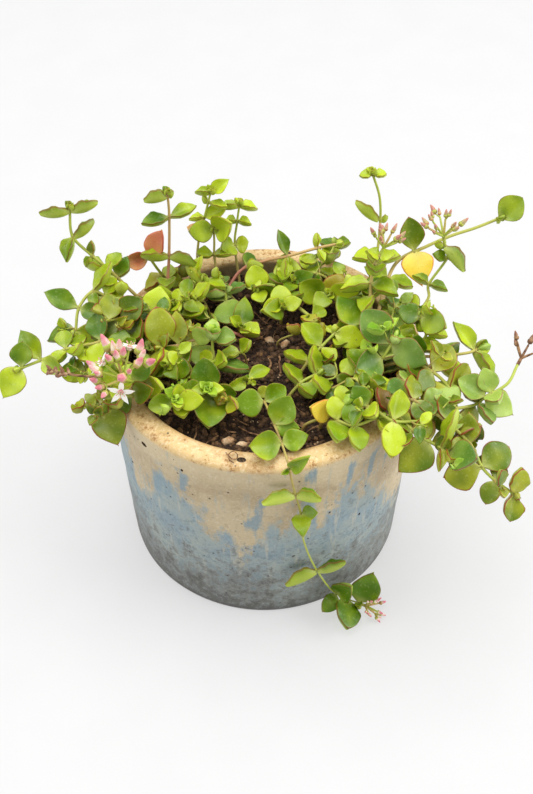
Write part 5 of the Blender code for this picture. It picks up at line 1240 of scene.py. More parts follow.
def stoneware_finish():
    """Stoneware fired with thin, uneven glazes: cream and iron-stained on the rim,
    beige above with blue runs, blue-grey in the middle, bare mottled grey below.
    Its patterns are clouds, mottle, grain, and pinholes from gas in the firing, 0.5 mm
    wide and about 5 mm apart."""
    patterns = ((NOISE, 20, 6.0, 0.65), (NOISE, 4.0, 6.0, 0.75), (NOISE, 1.1, 4.0, 0.75),
                (CELLS, 5.0, 0.0, 0.5))
    material, tree, outs = new_finish("glazed stoneware", {
        "IOR": 1.48, "Coat Weight": 0.05, "Coat Roughness": 0.35}, patterns, ("beige", "blue"))
    clouds, mottle, grain, pinholes, beige, blue = outs
    place = tree.nodes["Texture Coordinate"].outputs["Object"]
    height = add(tree, "ShaderNodeSeparateXYZ", {0: place}, out="Z")
    level = add(tree, MATH, {0: height, 1: POT_HEIGHT * MM}, operation="DIVIDE")
    flat = add(tree, "ShaderNodeMapping", {"Vector": place, "Scale": (1, 1, 0)})
    radius = add(tree, "ShaderNodeVectorMath", {0: flat}, out="Value", operation="LENGTH")
    # Ragged edges of the runs are 3 to 7 mm wide and three times as tall
    tall = add(tree, "ShaderNodeMapping", {"Vector": place, "Scale": (1, 1, 0.35)})
    ragged = add(tree, NOISE, {"Vector": tall, "Scale": 1000 / 7, "Detail": 6.0,
                               "Roughness": 0.65})
    # Hairlines of blue dragged down through the beige are 1 mm wide
    drawn = add(tree, "ShaderNodeMapping", {"Vector": place, "Scale": (1, 1, 0.12)})
    hairs = add(tree, NOISE, {"Vector": drawn, "Scale": 1000 / 2.4, "Detail": 4.0})
    edges = {"level": level, "beige": beige, "blue": blue, "clouds": clouds, "mottle": mottle,
             "radius": radius}
    # Each edge is a pattern times its weight on top of another value
    for name, pattern, weight, base in (
            ("glaze", ragged, 0.7, "beige"), ("glaze", mottle, 0.4, "glaze"),
            ("run", hairs, 2.0, "blue"), ("run", mottle, 2.4, "run"),
            ("bare", mottle, 1.2, "level"), ("bare", clouds, 0.8, "bare"),
            ("foot", mottle, 0.06, "level"), ("rust", mottle, 0.9, "clouds"),
            ("speckle", grain, 0.6, "mottle"), ("lip", mottle, 0.008, "radius")):
        edges[name] = add(tree, MATH, {0: pattern, 1: weight, 2: edges[base]},
                          operation="MULTIPLY_ADD")
    speckle = edges["speckle"]
    rim = paint(tree, "#d3b37a", (
        (clouds, 0.42, 0.60, 0.9, "#e4cd9e"),
        (edges["rust"], 0.88, 1.06, 0.65, "#b58440"),
        (edges["lip"], (POT_MOUTH_RADIUS + 6.6) * MM, (POT_MOUTH_RADIUS + 4.4) * MM, 0.6,
         "#ae8146"),
        (speckle, 0.86, 0.98, 0.8, "#8c5a24"),
        (grain, 0.50, 0.34, 0.4, "#f1e4c4"),
    ))
    inner = paint(tree, "#857453", ((mottle, 0.4, 0.65, 0.8, "#a08f6e"),))
    beige_glaze = paint(tree, "#c4b08a", (
        (clouds, 0.40, 0.62, 0.9, "#ad9670"),
        (mottle, 0.54, 0.70, 0.6, "#917f60"),
        (level, 0.82, 0.95, 0.6, "#d3bf97"),
        (hairs, 0.58, 0.72, 0.45, "#98a19a"),
        (grain, 0.48, 0.32, 0.35, "#ddd0b2"),
    ))
    bare = paint(tree, "#6e6f69", (
        (mottle, 0.46, 0.60, 0.55, "#848b8a"),
        (mottle, 0.46, 0.34, 0.7, "#504f4a"),
        (speckle, 0.84, 0.98, 0.6, "#45433e"),
    ))
    deep_bare = paint(tree, "#504f4a", (
        (mottle, 0.48, 0.62, 0.7, "#6c6e6a"),
        (mottle, 0.44, 0.32, 0.6, "#3c3a36"),
    ))
    blue_run = paint(tree, "#6f8a98", ((mottle, 0.42, 0.66, 0.8, "#8b9c9e"),))
    colour = paint(tree, "#8598a0", (
        (clouds, 0.40, 0.60, 0.9, "#97a09a"),
        (mottle, 0.50, 0.66, 0.75, "#66777c"),
        (hairs, 0.56, 0.70, 0.55, "#beb7a2"),
        (edges["glaze"], 0.50, 0.64, 0.92, beige_glaze),
        (edges["run"], 2.50, 3.20, 0.85, blue_run),
        (edges["bare"], 1.44, 1.20, 0.88, bare),
        (edges["bare"], 1.20, 0.98, 0.85, deep_bare),
        (edges["foot"], 0.080, 0.050, 0.7, "#403e3a"),
        (grain, 0.56, 0.72, 0.35, "#5f5c52"),
        (grain, 0.44, 0.28, 0.25, "#d8d4c4"),
        (height, (POT_HEIGHT - 3.6) * MM, (POT_HEIGHT - 1.4) * MM, 1.0, rim),
        (radius, (POT_MOUTH_RADIUS + 1.0) * MM, (POT_MOUTH_RADIUS - 0.3) * MM, 1.0, inner),
        # The pinholes are only a slight bump, so the dark inside each hole is painted shade
        (pinholes, 0.11, 0.06, 0.85, "#2f2b26"),
    ))
    relief = add(tree, MATH, {0: grain, 1: 0.5, 2: pinholes}, operation="MULTIPLY_ADD")
    sheen = add(tree, RANGE, {0: mottle, 3: 0.42, 4: 0.70})
    tree.links.new(sheen, tree.nodes["Principled BSDF"].inputs["Roughness"])
    return dress(material, colour, relief, 0.4)


def clay_finish():
    """Bare fired clay in the open pits of the glaze: dull, dark and gritty."""
    material, tree, (grain,) = new_finish("bare fired clay", {"Roughness": 0.9}, (
        (NOISE, 0.8, 3.0, 0.5),))
    colour = paint(tree, "#3a2c20", ((grain, 0.4, 0.65, 1.0, "#6a543c"),))
    return dress(material, colour, grain, 0.3)


def earth_finish(sort, dark, light, roughness):
    """Potting mix of peat and composted bark: black-brown, dull, lighter where dry."""
    material, tree, (patches, fine) = new_finish(sort, {"Roughness": roughness}, (
        (NOISE, 2.4, 4.0, 0.7), (NOISE, 0.6, 3.0, 0.5)))
    colour = paint(tree, dark, ((patches, 0.4, 0.72, 1.0, light),))
    return dress(material, colour, fine, 0.4)


def pumice_finish():
    """Pumice, a volcanic glass foam broken into chips: dull cream, stained, pitted."""
    material, tree, (stain, foam) = new_finish("pumice", {"Roughness": 0.9}, (
        (NOISE, 2.5, 3.0, 0.5), (CELLS, 0.7, 0.0, 0.5)))
    colour = paint(tree, "#dcc09a", (
        (stain, 0.38, 0.62, 0.85, "#b98a5e"),
        (foam, 0.26, 0.10, 0.6, "#6f5036"),
    ))
    return dress(material, colour, foam, 0.3)


def floor_finish():
    """Matt white floor that glows: painted light that keeps the shadows on it soft and faint. It has a
    faint grain.
    """
    constants = {"Roughness": 0.9, "Emission Color": (1, 1, 1, 1),
                 "Emission Strength": FLOOR_PAINTED_LIGHT}
    material, tree, (grain,) = new_finish("lit white acrylic", constants, (
        (NOISE, 30, 3.0, 0.5),))
    return dress(material, paint(tree, "#909090", ((grain, 0.3, 0.7, 1.0, "#929292"),)))


# Trees of geometry


def new_tree(name, inputs):
    """A geometry tree with named inputs; returns it and its sources by name."""
    tree = bpy.data.node_groups.new(name, "GeometryNodeTree")
    for label, kind in (("Geometry", "Geometry"), *inputs, ("Finish", "Material")):
        tree.interface.new_socket(label, in_out="INPUT", socket_type="NodeSocket" + kind)
    tree.interface.new_socket("Geometry", in_out="OUTPUT", socket_type="NodeSocketGeometry")
    start = tree.nodes.new("NodeGroupInput")
    return tree, {socket.name: socket for socket in start.outputs if socket.name}


def close_tree(tree, geometry, finish):
    """Ends a tree: real faces, smooth, with their material."""
    real = add(tree, "GeometryNodeRealizeInstances", {0: geometry})
    smooth = add(tree, "GeometryNodeSetShadeSmooth", {0: real})
    dressed = add(tree, "GeometryNodeSetMaterial", {"Geometry": smooth, "Material": finish})
    add(tree, "NodeGroupOutput", {0: dressed})
    return tree


def copied(tree, points, shapes, inputs):
    """One of a collection's shapes on each point."""
    masters = add(tree, "GeometryNodeCollectionInfo", {
        "Collection": shapes, "Separate Children": True, "Reset Children": True})
    return add(tree, "GeometryNodeInstanceOnPoints", {
        "Points": points, "Instance": masters, "Pick Instance": True, **inputs})


def placing_tree():
    """Puts one of a collection's shapes on each point, turned and sized as it says."""
    tree, source = new_tree("place shapes", (("Shapes", "Collection"),))
    field = "GeometryNodeInputNamedAttribute"
    points = add(tree, "GeometryNodeMeshToPoints", {"Mesh": source["Geometry"]})
    copies = copied(tree, points, source["Shapes"], {
        "Instance Index": add(tree, field, {"Name": "kind"}, data_type="INT"),
        "Rotation": add(tree, field, {"Name": "turn"}, data_type="QUATERNION"),
        "Scale": add(tree, field, {"Name": "size"}, data_type="FLOAT_VECTOR")})
    return close_tree(tree, copies, source["Finish"])


def sweeping_tree():
    """Sweeps a round section along the lines of a mesh, as thick as its points say."""
    tree, source = new_tree("sweep lines", (("Sides", "Int"),))
    lines = add(tree, "GeometryNodeMeshToCurve", {0: source["Geometry"]})
    thick = add(tree, "GeometryNodeInputNamedAttribute", {"Name": "thick"}, data_type="FLOAT")
    ring = add(tree, "GeometryNodeCurvePrimitiveCircle", {"Resolution": source["Sides"],
                                                          "Radius": 1.0})
    tube = add(tree, "GeometryNodeCurveToMesh", {"Curve": lines, "Profile Curve": ring,
                                                 "Scale": thick, "Fill Caps": True})
    return close_tree(tree, tube, source["Finish"])


def strewing_tree():
    """Strews a collection's shapes over a surface, turned and sized at random."""
    tree, source = new_tree("strew shapes", (
        ("Shapes", "Collection"), ("Per square metre", "Float"), ("Smallest", "Float"),
        ("Largest", "Float"), ("Seed", "Int")))
    points = add(tree, "GeometryNodeDistributePointsOnFaces", {
        "Mesh": source["Geometry"], "Density": source["Per square metre"],
        "Seed": source["Seed"]})
    turn = add(tree, "FunctionNodeRandomValue", {1: (6.28, 6.28, 6.28), "Seed": source["Seed"]},
               data_type="FLOAT_VECTOR")
    size = add(tree, "FunctionNodeRandomValue", {2: source["Smallest"], 3: source["Largest"],
                                                 "Seed": source["Seed"]},
               out=1, data_type="FLOAT")
    copies = copied(tree, points, source["Shapes"], {"Rotation": turn, "Scale": size})
    return close_tree(tree, copies, source["Finish"])


# Meshes from trees and points


def show(name, mesh):
    """A scene object for a mesh; it stands at the origin."""
    obj = bpy.data.objects.new(name, mesh)
    bpy.context.scene.collection.objects.link(obj)
    return obj


def applied(obj, step):
    """Gives the object the plain mesh that a modifier makes of it."""
    graph = bpy.context.evaluated_depsgraph_get()
    mesh = bpy.data.meshes.new_from_object(obj.evaluated_get(graph))
    obj.modifiers.remove(step)
    if len(mesh.materials) > 1 and mesh.materials[0] is None:
        mesh.materials.pop(index=0)
    old = obj.data
    obj.data = mesh
    bpy.data.meshes.remove(old)
    mesh.name = obj.name
    return obj


def grown(obj, tree, settings):
    """The object after a geometry tree, its inputs set by their identifiers."""
    step = obj.modifiers.new("Grow", "NODES")
    step.node_group = tree
    for socket in tree.interface.items_tree:
        if socket.in_out == "INPUT" and socket.name in settings:
            step[socket.identifier] = settings[socket.name]
    return applied(obj, step)


def new_mesh(name, points, edges=(), faces=()):
    """A mesh in metres from points in millimetres."""
    mesh = bpy.data.meshes.new(name)
    mesh.from_pydata([point * MM for point in points], edges, faces)
    return mesh


def set_field(mesh, name, kind, values):
    """Stores a value for every point of a mesh."""
    layer = mesh.attributes.new(name, kind, "POINT")
    single = kind in ("FLOAT", "INT")
    field = "vector" if kind == "FLOAT_VECTOR" else "value"
    layer.data.foreach_set(field, values if single else [c for v in values for c in v])


def settled(piece):
    """Lets what hangs to the floor lie on it."""
    for vert in piece.data.vertices:
        vert.co.z = max(vert.co.z, 0.0)
    return piece


def placed(name, copies, shapes, finish):
    """One mesh with a shape at every copy: place, turn, size, kind and tint."""
    places, turns, sizes, kinds, tints = zip(*copies)
    mesh = new_mesh(name, places)
    set_field(mesh, "turn", "QUATERNION", turns)
    set_field(mesh, "size", "FLOAT_VECTOR", [size * MM for size in sizes])
    set_field(mesh, "kind", "INT", kinds)
    set_field(mesh, "tint", "FLOAT", tints)
    return settled(grown(show(name, mesh), TREES["place"], {"Shapes": shapes, "Finish": finish}))


def swept(name, lines, finish, sides=SHOOT_SIDES):
    """One mesh of round rods. A line is its tint and its points, each with radius,
    share of the length and nearness to a joint."""
    points = []
    edges = []
    rows = []
    for tint, line in lines:
        edges += [(len(points) + k, len(points) + k + 1) for k in range(len(line) - 1)]
        points += [row[0] for row in line]
        rows += [(row[1] * MM, row[2], row[3], tint) for row in line]
    mesh = new_mesh(name, points, edges)
    for field, values in zip(("thick", "along", "joint", "tint"), zip(*rows)):
        set_field(mesh, field, "FLOAT", values)
    return grown(show(name, mesh), TREES["sweep"], {"Sides": sides, "Finish": finish})


def shape_group(name, meshes):
    """Master shapes in a collection that isn't in the scene; they sort by name."""
    group = bpy.data.collections.new(name)
    for mesh in meshes:
        group.objects.link(bpy.data.objects.new(mesh.name, mesh))
    return group


def closed_mesh(name, verts, faces, fields):
    """A mesh with fields on its points and every face outwards."""
    mesh = bpy.data.meshes.new(name)
    mesh.from_pydata(verts, [], faces)
    for field, values in fields.items():
        set_field(mesh, field, "FLOAT", values)
    work = bmesh.new()
    work.from_mesh(mesh)
    bmesh.ops.recalc_face_normals(work, faces=work.faces)
    work.to_mesh(mesh)
    work.free()
    return mesh


# Master shapes


def stacked_faces(rings, sides):
    """Faces between rings of points, a cap at the first, and a last point as tip."""
    last = (rings - 1) * sides
    tip = [(last + j, last + (j + 1) % sides, last + sides) for j in range(sides)]
    return [tuple(range(sides))] + ring_faces(rings, sides) + tip


def blade_half(along, widest, foot, tip):
    """Half the width of a blade 1 wide, from its narrow foot to its blunt tip."""
    if along < widest:
        return 0.5 * max(sin(along / widest * pi / 2) ** (foot * 1.3), 0.15)
    share = (along - widest) / (1 - widest)
    return 0.5 * max(cos(share * pi / 2), 0.0) ** tip


def blade_mesh(name, sections, widest, foot, tip, droop, lift, point):
    """A leaf 1 long, wide and thick, its foot at the origin, along +Y, facing +Z."""
    spare = 1 if sections > 10 else 2
    across = [(a, False) for a in TOP_ACROSS[::spare]] + [(a, True) for a in KEEL_ACROSS[::spare]]
    verts = []
    fields = {"rim": [], "under": [], "along": []}
    for k in range(sections):
        along = 0.5 - 0.5 * cos(pi * 0.985 * k / (sections - 1))
        half = blade_half(along, widest, foot, tip)
        body = 0.35 + 0.65 * sin(pi * min(along * 0.9 + 0.08, 1.0)) ** 0.6
        wave = RIPPLE * sin(along * 15.0 + widest * 40.0)
        for a, below in across:
            round_off = (1 - abs(a) ** 2.6) ** 0.6
            groove = GROOVE_DEPTH * exp(-(a / GROOVE_WIDTH) ** 2) * max(0.0, 1 - along * 1.6)
            height = -KEEL * body * round_off if below else (CROWN * round_off - groove) * body
            bend = (lift + wave) * a * a * half * 2 - droop * along * along
            verts.append((a * half, along, height + bend * BEND))
            edge = abs(a) ** 6 * (0.85 if below else 1.0)
            fields["rim"].append(max(edge, 0.0 if below else along ** 14))
            fields["under"].append(round_off if below else 0.0)
            fields["along"].append(along)
    verts.append((0.0, 1.0 + point, -droop * BEND))
    for field, value in (("rim", 1.0), ("under", 0.0), ("along", 1.0)):
        fields[field].append(value)
    return closed_mesh(name, verts, stacked_faces(sections, len(across)), fields)


def bud_mesh(name, profile, ridge, sides=10):
    """A body of rings round +Z from z = 0 to 1, with five soft ridges."""
    verts = []
    along = []
    for radius, z in profile[:-1]:
        for k in range(sides):
            turn = 2 * pi * k / sides
            reach = radius * (1 + ridge * cos(turn * 5))
            verts.append((reach * cos(turn), reach * sin(turn), z))
            along.append(z)
    verts.append((0.0, 0.0, profile[-1][1]))
    along.append(1.0)
    return closed_mesh(name, verts, stacked_faces(len(profile) - 1, sides), {"along": along})


def lump_mesh(name, seed, detail, rough):
    """A lumpy crumb or stone about 1 across."""
    draw = random.Random(seed)
    work = bmesh.new()
    bmesh.ops.create_icosphere(work, subdivisions=detail, radius=0.5)
    stretch = Vector([draw.uniform(0.65, 1.2) for _ in range(3)])
    for vert in work.verts:
        vert.co = vert.co * stretch * draw.uniform(1 - rough, 1 + rough)
    mesh = bpy.data.meshes.new(name)
    work.to_mesh(mesh)
    work.free()
    return mesh


# Stems and leaves


def turn_to(axis, normal):
    """The turn that takes +Y to an axis and +Z to a normal."""
    return Matrix((axis.cross(normal), axis, normal)).transposed().to_quaternion()


def leaf_copy(leaf, age, unrest, draw):
    """Place, turn, size, kind and tint of a fine leaf, a little off the plan's turn."""
    narrow = leaf["width"] < leaf["length"] * NARROW_LEAF
    kind = draw.choice(NARROW_BLADES) if narrow else draw.randrange(ROUND_BLADES)
    kind = YOUNG_BLADE if leaf["length"] < YOUNG_LENGTH else kind
    size = Vector((leaf["width"], leaf["length"] - LEAF_ROOT_OFFSET, leaf["thick"] * FLESH))
    place = leaf["base"] + leaf["axis"] * LEAF_ROOT_OFFSET
    roll = Quaternion(leaf["axis"], radians(draw.gauss(0, LEAF_ROLL * unrest)))
    across = leaf["axis"].cross(leaf["normal"]).normalized()
    nod = Quaternion(across, radians(draw.gauss(0, LEAF_NOD * unrest)))
    turn = turn_to(nod @ leaf["axis"], nod @ (roll @ leaf["normal"]))
    return place, turn, size, kind, draw.uniform(*age)


def reshaped(leaf, factors):
    """The leaf with its width and length changed."""
    wide, long = factors
    return {**leaf, "width": leaf["width"] * wide, "length": leaf["length"] * long}


def shoot_line(points, radius, joints):
    """Fine points along a stem with radius, share and nearness to a joint."""
    last = len(points) - 1
    spots = []
    for k in range(last):
        pieces = max(2, round((points[k + 1] - points[k]).length / SHOOT_STEP))
        spots += [k + j / pieces for j in range(pieces)]
    spots.append(last)
    line = []
    for number, spot in enumerate(spots):
        point = lengthwise(points, spot)[0]
        share = number / (len(spots) - 1)
        aways = [(point - joint).length / JOINT_REACH for joint in joints]
        near = max((exp(-away ** 2) for away in aways), default=0.0)
        reach = radius * (1 - SHOOT_TAPER * share) * (1 + JOINT_SWELL * near) * THIN
        line.append((point, reach, share, near))
    tip, heading = lengthwise(points, last)
    line.append((tip + heading * TIP_OVERRUN, radius * 0.4, 1.0, 0.0))
    return line


def tip_leaves(stem, draw):
    """Small crossed pairs of young leaves at a stem's tip."""
    tip, heading = lengthwise(stem["points"], len(stem["points"]) - 1)
    side = heading.orthogonal().normalized()
    leaves = []
    share = 1.0 if stem["name"] in ROSETTES else PLAIN_TIP
    for length, lean in TIP_PAIRS:
        side = heading.cross(side).normalized()
        tip = tip + heading * TIP_STEP
        for sign in (1, -1):
            axis = (side * sign + heading * tan(radians(lean))).normalized()
            normal = (heading - axis * heading.dot(axis)).normalized()
            size = length * share * draw.uniform(0.85, 1.15)
            leaves.append({"base": tip, "axis": axis, "normal": normal, "length": size,
                           "width": size * TIP_WIDTH, "thick": 0.9})
    return leaves


def side_twig(stem, crowd, draw):
    """A short twig with a pair of small leaves beside a stem, or None for no room."""
    spot = draw.uniform(1.3, len(stem["points"]) - 1)
    start, heading = lengthwise(stem["points"], spot)
    side = Matrix.Rotation(draw.uniform(0, 2 * pi), 3, heading) @ heading.orthogonal()
    way = (side.normalized() + heading * 0.4 + Vector((0, 0, 0.35))).normalized()
    end = start + way * draw.uniform(*SIDE_REACH)
    rod = tube_shape([start.lerp(end, 0.5), end], [SIDE_RADIUS] * 2, 4, SIDE_ROOM)
    if not in_open_air(rod[0]) or not crowd.is_clear(stem["name"], rod):
        return None
    across = Matrix.Rotation(draw.uniform(0, pi), 3, way) @ way.orthogonal().normalized()
    twig = {"name": "side_twig", "points": [start, start.lerp(end, 0.5) + across * 0.3, end],
            "leaves": []}
    for sign in (1, -1):
        length = draw.uniform(*SIDE_LEAF)
        axis = (across * sign + way * 0.45).normalized()
        light = Vector((0, -0.35, 0.85)) + way * 0.5
        normal = (light - axis * light.dot(axis)).normalized()
        leaf = {"base": end, "axis": axis, "normal": normal, "length": length, "curl": 0.0,
                "width": length * draw.uniform(*SIDE_WIDTH), "thick": 1.0, "root": SIDE_RADIUS}
        shape = leaf_shape(leaf, SIDE_ROOM)
        if in_open_air(shape[0]) and crowd.is_clear("side_twig", shape):
            twig["leaves"].append(leaf)
    if not twig["leaves"]:
        return None
    for leaf in twig["leaves"]:
        crowd.add("twigs", leaf_shape(leaf))
    crowd.add("twigs", rod)
    return twig


def side_twigs(stem, crowd, draw):
    """The side twigs that a stem has room for."""
    twigs = []
    for _ in range(SIDE_TRIALS):
        twig = side_twig(stem, crowd, draw) if len(twigs) < SIDE_TWIGS else None
        if twig:
            twigs.append(twig)
    return twigs


def runner(number, crowd, draw):
    """A thin leafy stem that creeps between the others, or None for no room."""
    inner = number % 3 == 0
    turn = SPIRAL_TURN * number if inner else pi * (number % 2) + draw.uniform(-1.0, 1.0)
    reach = draw.uniform(*(RUNNER_INNER if inner else RUNNER_OUTER))
    x, y = reach * cos(turn), reach * sin(turn)
    root = (x, y)
    way = turn + draw.uniform(-1.3, 1.3)
    z = SOIL_TOP + STEM_COLLAR + 1.5
    route = []
    pairs = []
    for k in range(draw.randint(2, 4)):
        step = draw.uniform(*RUNNER_STEP)
        x += step * cos(way)
        y += step * sin(way)
        z += draw.uniform(*RUNNER_CLIMB)
        way += draw.uniform(-0.5, 0.5)
        if hypot(x, y) > RUNNER_LIMIT:
            break
        route.append((x, y, z))
        across = (cos(way + 1.57 * k), sin(way + 1.57 * k), draw.uniform(-0.1, 0.5))
        length = draw.uniform(*RUNNER_LEAF)
        pairs.append((k + 1, (length, length * 0.9), across, 12))
    if len(route) < 2:
        return None
    stem = {"name": "runner_%d" % number, "radius": RUNNER_RADIUS, "root": root, "leaves": [],
            "points": stem_route(root, route), "pairs": pairs,
            "colour": draw.choice(("green", "green", "olive", "blue"))}
    if not settle_stem(stem, crowd, draw):
        return None
    crowd.add(stem["name"], tube_shape(stem["line"], stem["radii"], STEM_SIDES))
    grow_leaves([stem], crowd, draw)
    return stem


def build_stem(stem, crowd, finishes, draw):
    """The fine stem with its twigs and leaves, which stand for its node."""
    name = stem["name"]
    dry = stem["colour"] == "dry"
    leafy = abs(stem["root"][0]) > SIDE_REGION and name not in BARE_STEMS and not dry
    twigs = side_twigs(stem, crowd, draw) if leafy else []
    headed = any(head[2] == name for head in HEADS)
    leaves = list(stem["leaves"]) + ([] if headed or dry else tip_leaves(stem, draw))
    thin = FRONT_THIN if name == "front_trailing" else 1.0
    tint = STEM_TINT.get(name, draw.uniform(0, 0.75))
    joints = [lengthwise(stem["points"], pair[0] + 1)[0] for pair in stem["pairs"]]
    lines = [(tint, shoot_line(stem["points"], stem["radius"] * thin, joints))]
    for twig in twigs:
        lines.append((draw.uniform(0, 0.7), shoot_line(twig["points"], SIDE_RADIUS, [])))
        leaves += twig["leaves"] + tip_leaves(twig, draw)[-2:]
    nodes = [] if name.startswith("runner") else ["stem_" + name]
    usual = STEM_FINISH.get(name, stem["colour"])
    skin = finishes["dry" if dry else "shoot"]
    hand_over(swept("shoot_" + name, lines, skin), SLOTS[usual], *nodes)
    build_leaves(stem, leaves, usual, nodes, finishes, draw)


def build_leaves(stem, leaves, usual, nodes, finishes, draw):
    """The fine leaves of a stem, a piece for each finish."""
    name = stem["name"]
    age = LEAF_AGE.get(name, (0.0, 1.0))
    unrest = CALM_UNREST if name in CALM_STEMS else 1.0
    changes = RESHAPED_LEAVES.get(name, {})
    odd = ODD_LEAVES.get(name, {})
    sorts = {}
    for number, leaf in enumerate(leaves):
        leaf = reshaped(leaf, changes.get(number, (1.0, 1.0)))
        copy = leaf_copy(leaf, age, unrest, draw)
        at_tip = name in ROSETTES and number >= len(stem["leaves"])
        kind = "young" if at_tip else odd.get(number, usual)
        sorts.setdefault(kind, []).append(copy)
    for finish, copies in sorts.items():
        label = "leaves_" + name + ("" if finish == usual else "_" + finish)
        piece = placed(label, copies, SHAPES["blades"], finishes[finish])
        hand_over(piece, SLOTS[finish], *nodes)


def hand_over(piece, slot, *nodes):
    """Says what a piece moves with and stands for; its slot is not used."""
    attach(piece, "root")
    if nodes:
        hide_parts(*nodes)


# Flower heads


def cluster_axes(axis, count, draw):
    """Directions of the buds at the end of one flower stalk."""
    side = axis.orthogonal().normalized()
    axes = [axis]
    start = draw.uniform(0, 2 * pi)
    for k in range(count - 1):
        out = Matrix.Rotation(start + k * 2 * pi / (count - 1), 3, axis) @ side
        tilt = radians(CLUSTER_SPREAD * draw.uniform(0.7, 1.15))
        axes.append((axis * cos(tilt) + out * sin(tilt)).normalized())
    return axes


def upright(axis):
    """The turn that takes +Z to an axis."""
    return axis.to_track_quat("Z", "Y")


def star_parts(twig, end, petals, parts, lines, draw):
    """An open star: five petals, five pistils and five stamens."""
    axis = twig["axis"]
    side = axis.orthogonal().normalized()
    parts.append((end - axis * 1.1, upright(axis), Vector(STAR_CUP), 1, 0.5))
    for k in range(5):
        out = Matrix.Rotation(2 * pi * k / 5, 3, axis) @ side
        blade = (out + axis * draw.uniform(0.1, 0.35)).normalized()
        normal = (axis - blade * axis.dot(blade)).normalized()
        petals.append((end, turn_to(blade, normal), Vector(PETAL_SIZE), 2, draw.random()))
        pistil = (out * 0.35 + axis).normalized()
        parts.append((end + out * 0.25, upright(pistil), Vector(PISTIL), 0, 0.2))
        between = Matrix.Rotation(pi / 5, 3, axis) @ out
        anther = end + (between * 0.75 + axis).normalized() * STAMEN
        lines.append((0.1, [(end, 0.12, 0.6, 0.0), (anther, 0.1, 1.0, 0.0)]))
        parts.append((anther - axis * 0.25, upright(axis), Vector(ANTHER), 0, 0.9))


def bud_parts(twig, end, name, buds, cups, lines, draw):
    """The buds at the end of one flower stalk, each in its cup on its own thin stalk."""
    count, scale = FINE_HEADS[name][:2]
    for axis in cluster_axes(twig["axis"], count, draw):
        size = draw.uniform(0.7, 1.1) * scale
        middle = axis == twig["axis"]
        reach = draw.uniform(0.6, 1.4) if middle else draw.uniform(1.6, 3.0)
        start = end + axis * scale * reach
        way = (axis + twig["axis"] + Vector((0, 0, 0.4))).normalized()
        lines.append((0.2, [(end - twig["axis"] * 0.3, PEDICEL_RADII[0], 0.9, 0.0),
                            (start, PEDICEL_RADII[1], 1.0, 0.0)]))
        wide = FINE_BUD[0] * size
        bud = Vector((wide, wide, FINE_BUD[1] * size))
        buds.append((start, upright(way), bud, 0, draw.random()))
        cup = Vector((wide * 1.1, wide * 1.1, CUP_LENGTH * size))
        cups.append((start - way * 0.3, upright(way), cup, 1, draw.random()))


def build_husks(stem, finishes, draw):
    """Dried flower husks along the end of the brown stalk."""
    copies = []
    last = len(stem["points"]) - 1
    for k in range(HUSKS):
        point, heading = lengthwise(stem["points"], last - HUSK_RUN * k / HUSKS)
        side = Matrix.Rotation(k * SPIRAL_TURN, 3, heading) @ heading.orthogonal().normalized()
        axis = (side + heading * 0.6).normalized()
        wide = draw.uniform(*HUSK_WIDTH)
        size = Vector((wide, wide, draw.uniform(*HUSK_LENGTH)))
        copies.append((point, upright(axis), size, 0, draw.random()))
    piece = placed("husks_" + stem["name"], copies, SHAPES["blossom"], finishes["dry_buds"])
    hand_over(piece, SLOTS["dry"], "stem_" + stem["name"])


def build_head(head, finishes, draw):
    """The flower head: fine stalks, calyx cups, pointed buds and open stars."""
    name = head["name"]
    skin, stalk_skin = FINE_HEADS[name][2:]
    buds, cups, stars, parts = [], [], [], []
    fork = head["base"] + head["heading"] * HEAD_CORE
    foot = head["base"] - head["heading"] * 1.2
    lines = [(0.4, [(foot, NECK_RADII[0], 0.7, 0.0), (fork, NECK_RADII[1], 0.8, 1.0)])]
    for number, twig in enumerate(head["twigs"]):
        end = twig["base"] + twig["axis"] * twig["reach"]
        stalk = [(fork.lerp(end, share), STALK_RADIUS - STALK_TAPER * share, 0.8 + 0.2 * share, 0.0)
                 for share in (0.0, 0.35, 0.7, 1.0)]
        lines.append((draw.random(), stalk))
        if twig["kind"] == "star" or (name, number) == STAR_STALK:
            star_parts(twig, end, stars, parts, lines, draw)
        else:
            bud_parts(twig, end, name, buds, cups, lines, draw)
    slot = SLOTS[head["colour"]]
    for label, copies, finish in (("_buds", buds, skin), ("_cups", cups, stalk_skin),
                                  ("_stars", stars, "white_stars"), ("_hearts", parts, "pink_buds")):
        if copies:
            piece = placed(name + label, copies, SHAPES["blossom"], finishes[finish])
            hand_over(piece, slot, name)
    hand_over(swept(name + "_stalks", lines, finishes[stalk_skin], 8), slot, name)


# Pot


def pot_profile():
    """The wall from the foot's centre over the rim to the floor, in fine steps."""
    foot = POT_FOOT_RADIUS
    profile = [(0.0, FOOT_RECESS), (foot - 9.0, FOOT_RECESS), (foot - 7.5, 0.0),
               (foot - 1.6, 0.0), (foot - 0.6, 0.35), (foot - 0.15, 1.2)]
    for k in range(1, WALL_STEPS):
        z = 1.2 + (POT_HEIGHT - 4.4) * k / WALL_STEPS
        profile.append((wall_radius(z), z))
    profile += eased_corner(POT_TOP_RADIUS - 2.4, POT_HEIGHT - 2.4, 2.3, 0, 90)
    profile += eased_corner(POT_MOUTH_RADIUS + 2.0, POT_HEIGHT - 2.0, 2.0, 90, 180)
    top = POT_HEIGHT - 3.0
    for k in range(1, WELL_STEPS + 1):
        z = top - (top - POT_FLOOR) * k / WELL_STEPS
        profile.append((well_radius(z), z))
    profile.append((0.0, POT_FLOOR))
    return profile


def eased_corner(radius, z, size, start, end):
    """Profile points round a corner, by the centre and size of its curve."""
    points = []
    for k in range(CORNER_STEPS + 1):
        turn = radians(start + (end - start) * k / CORNER_STEPS)
        points.append((radius + size * cos(turn), z + size * sin(turn)))
    return points


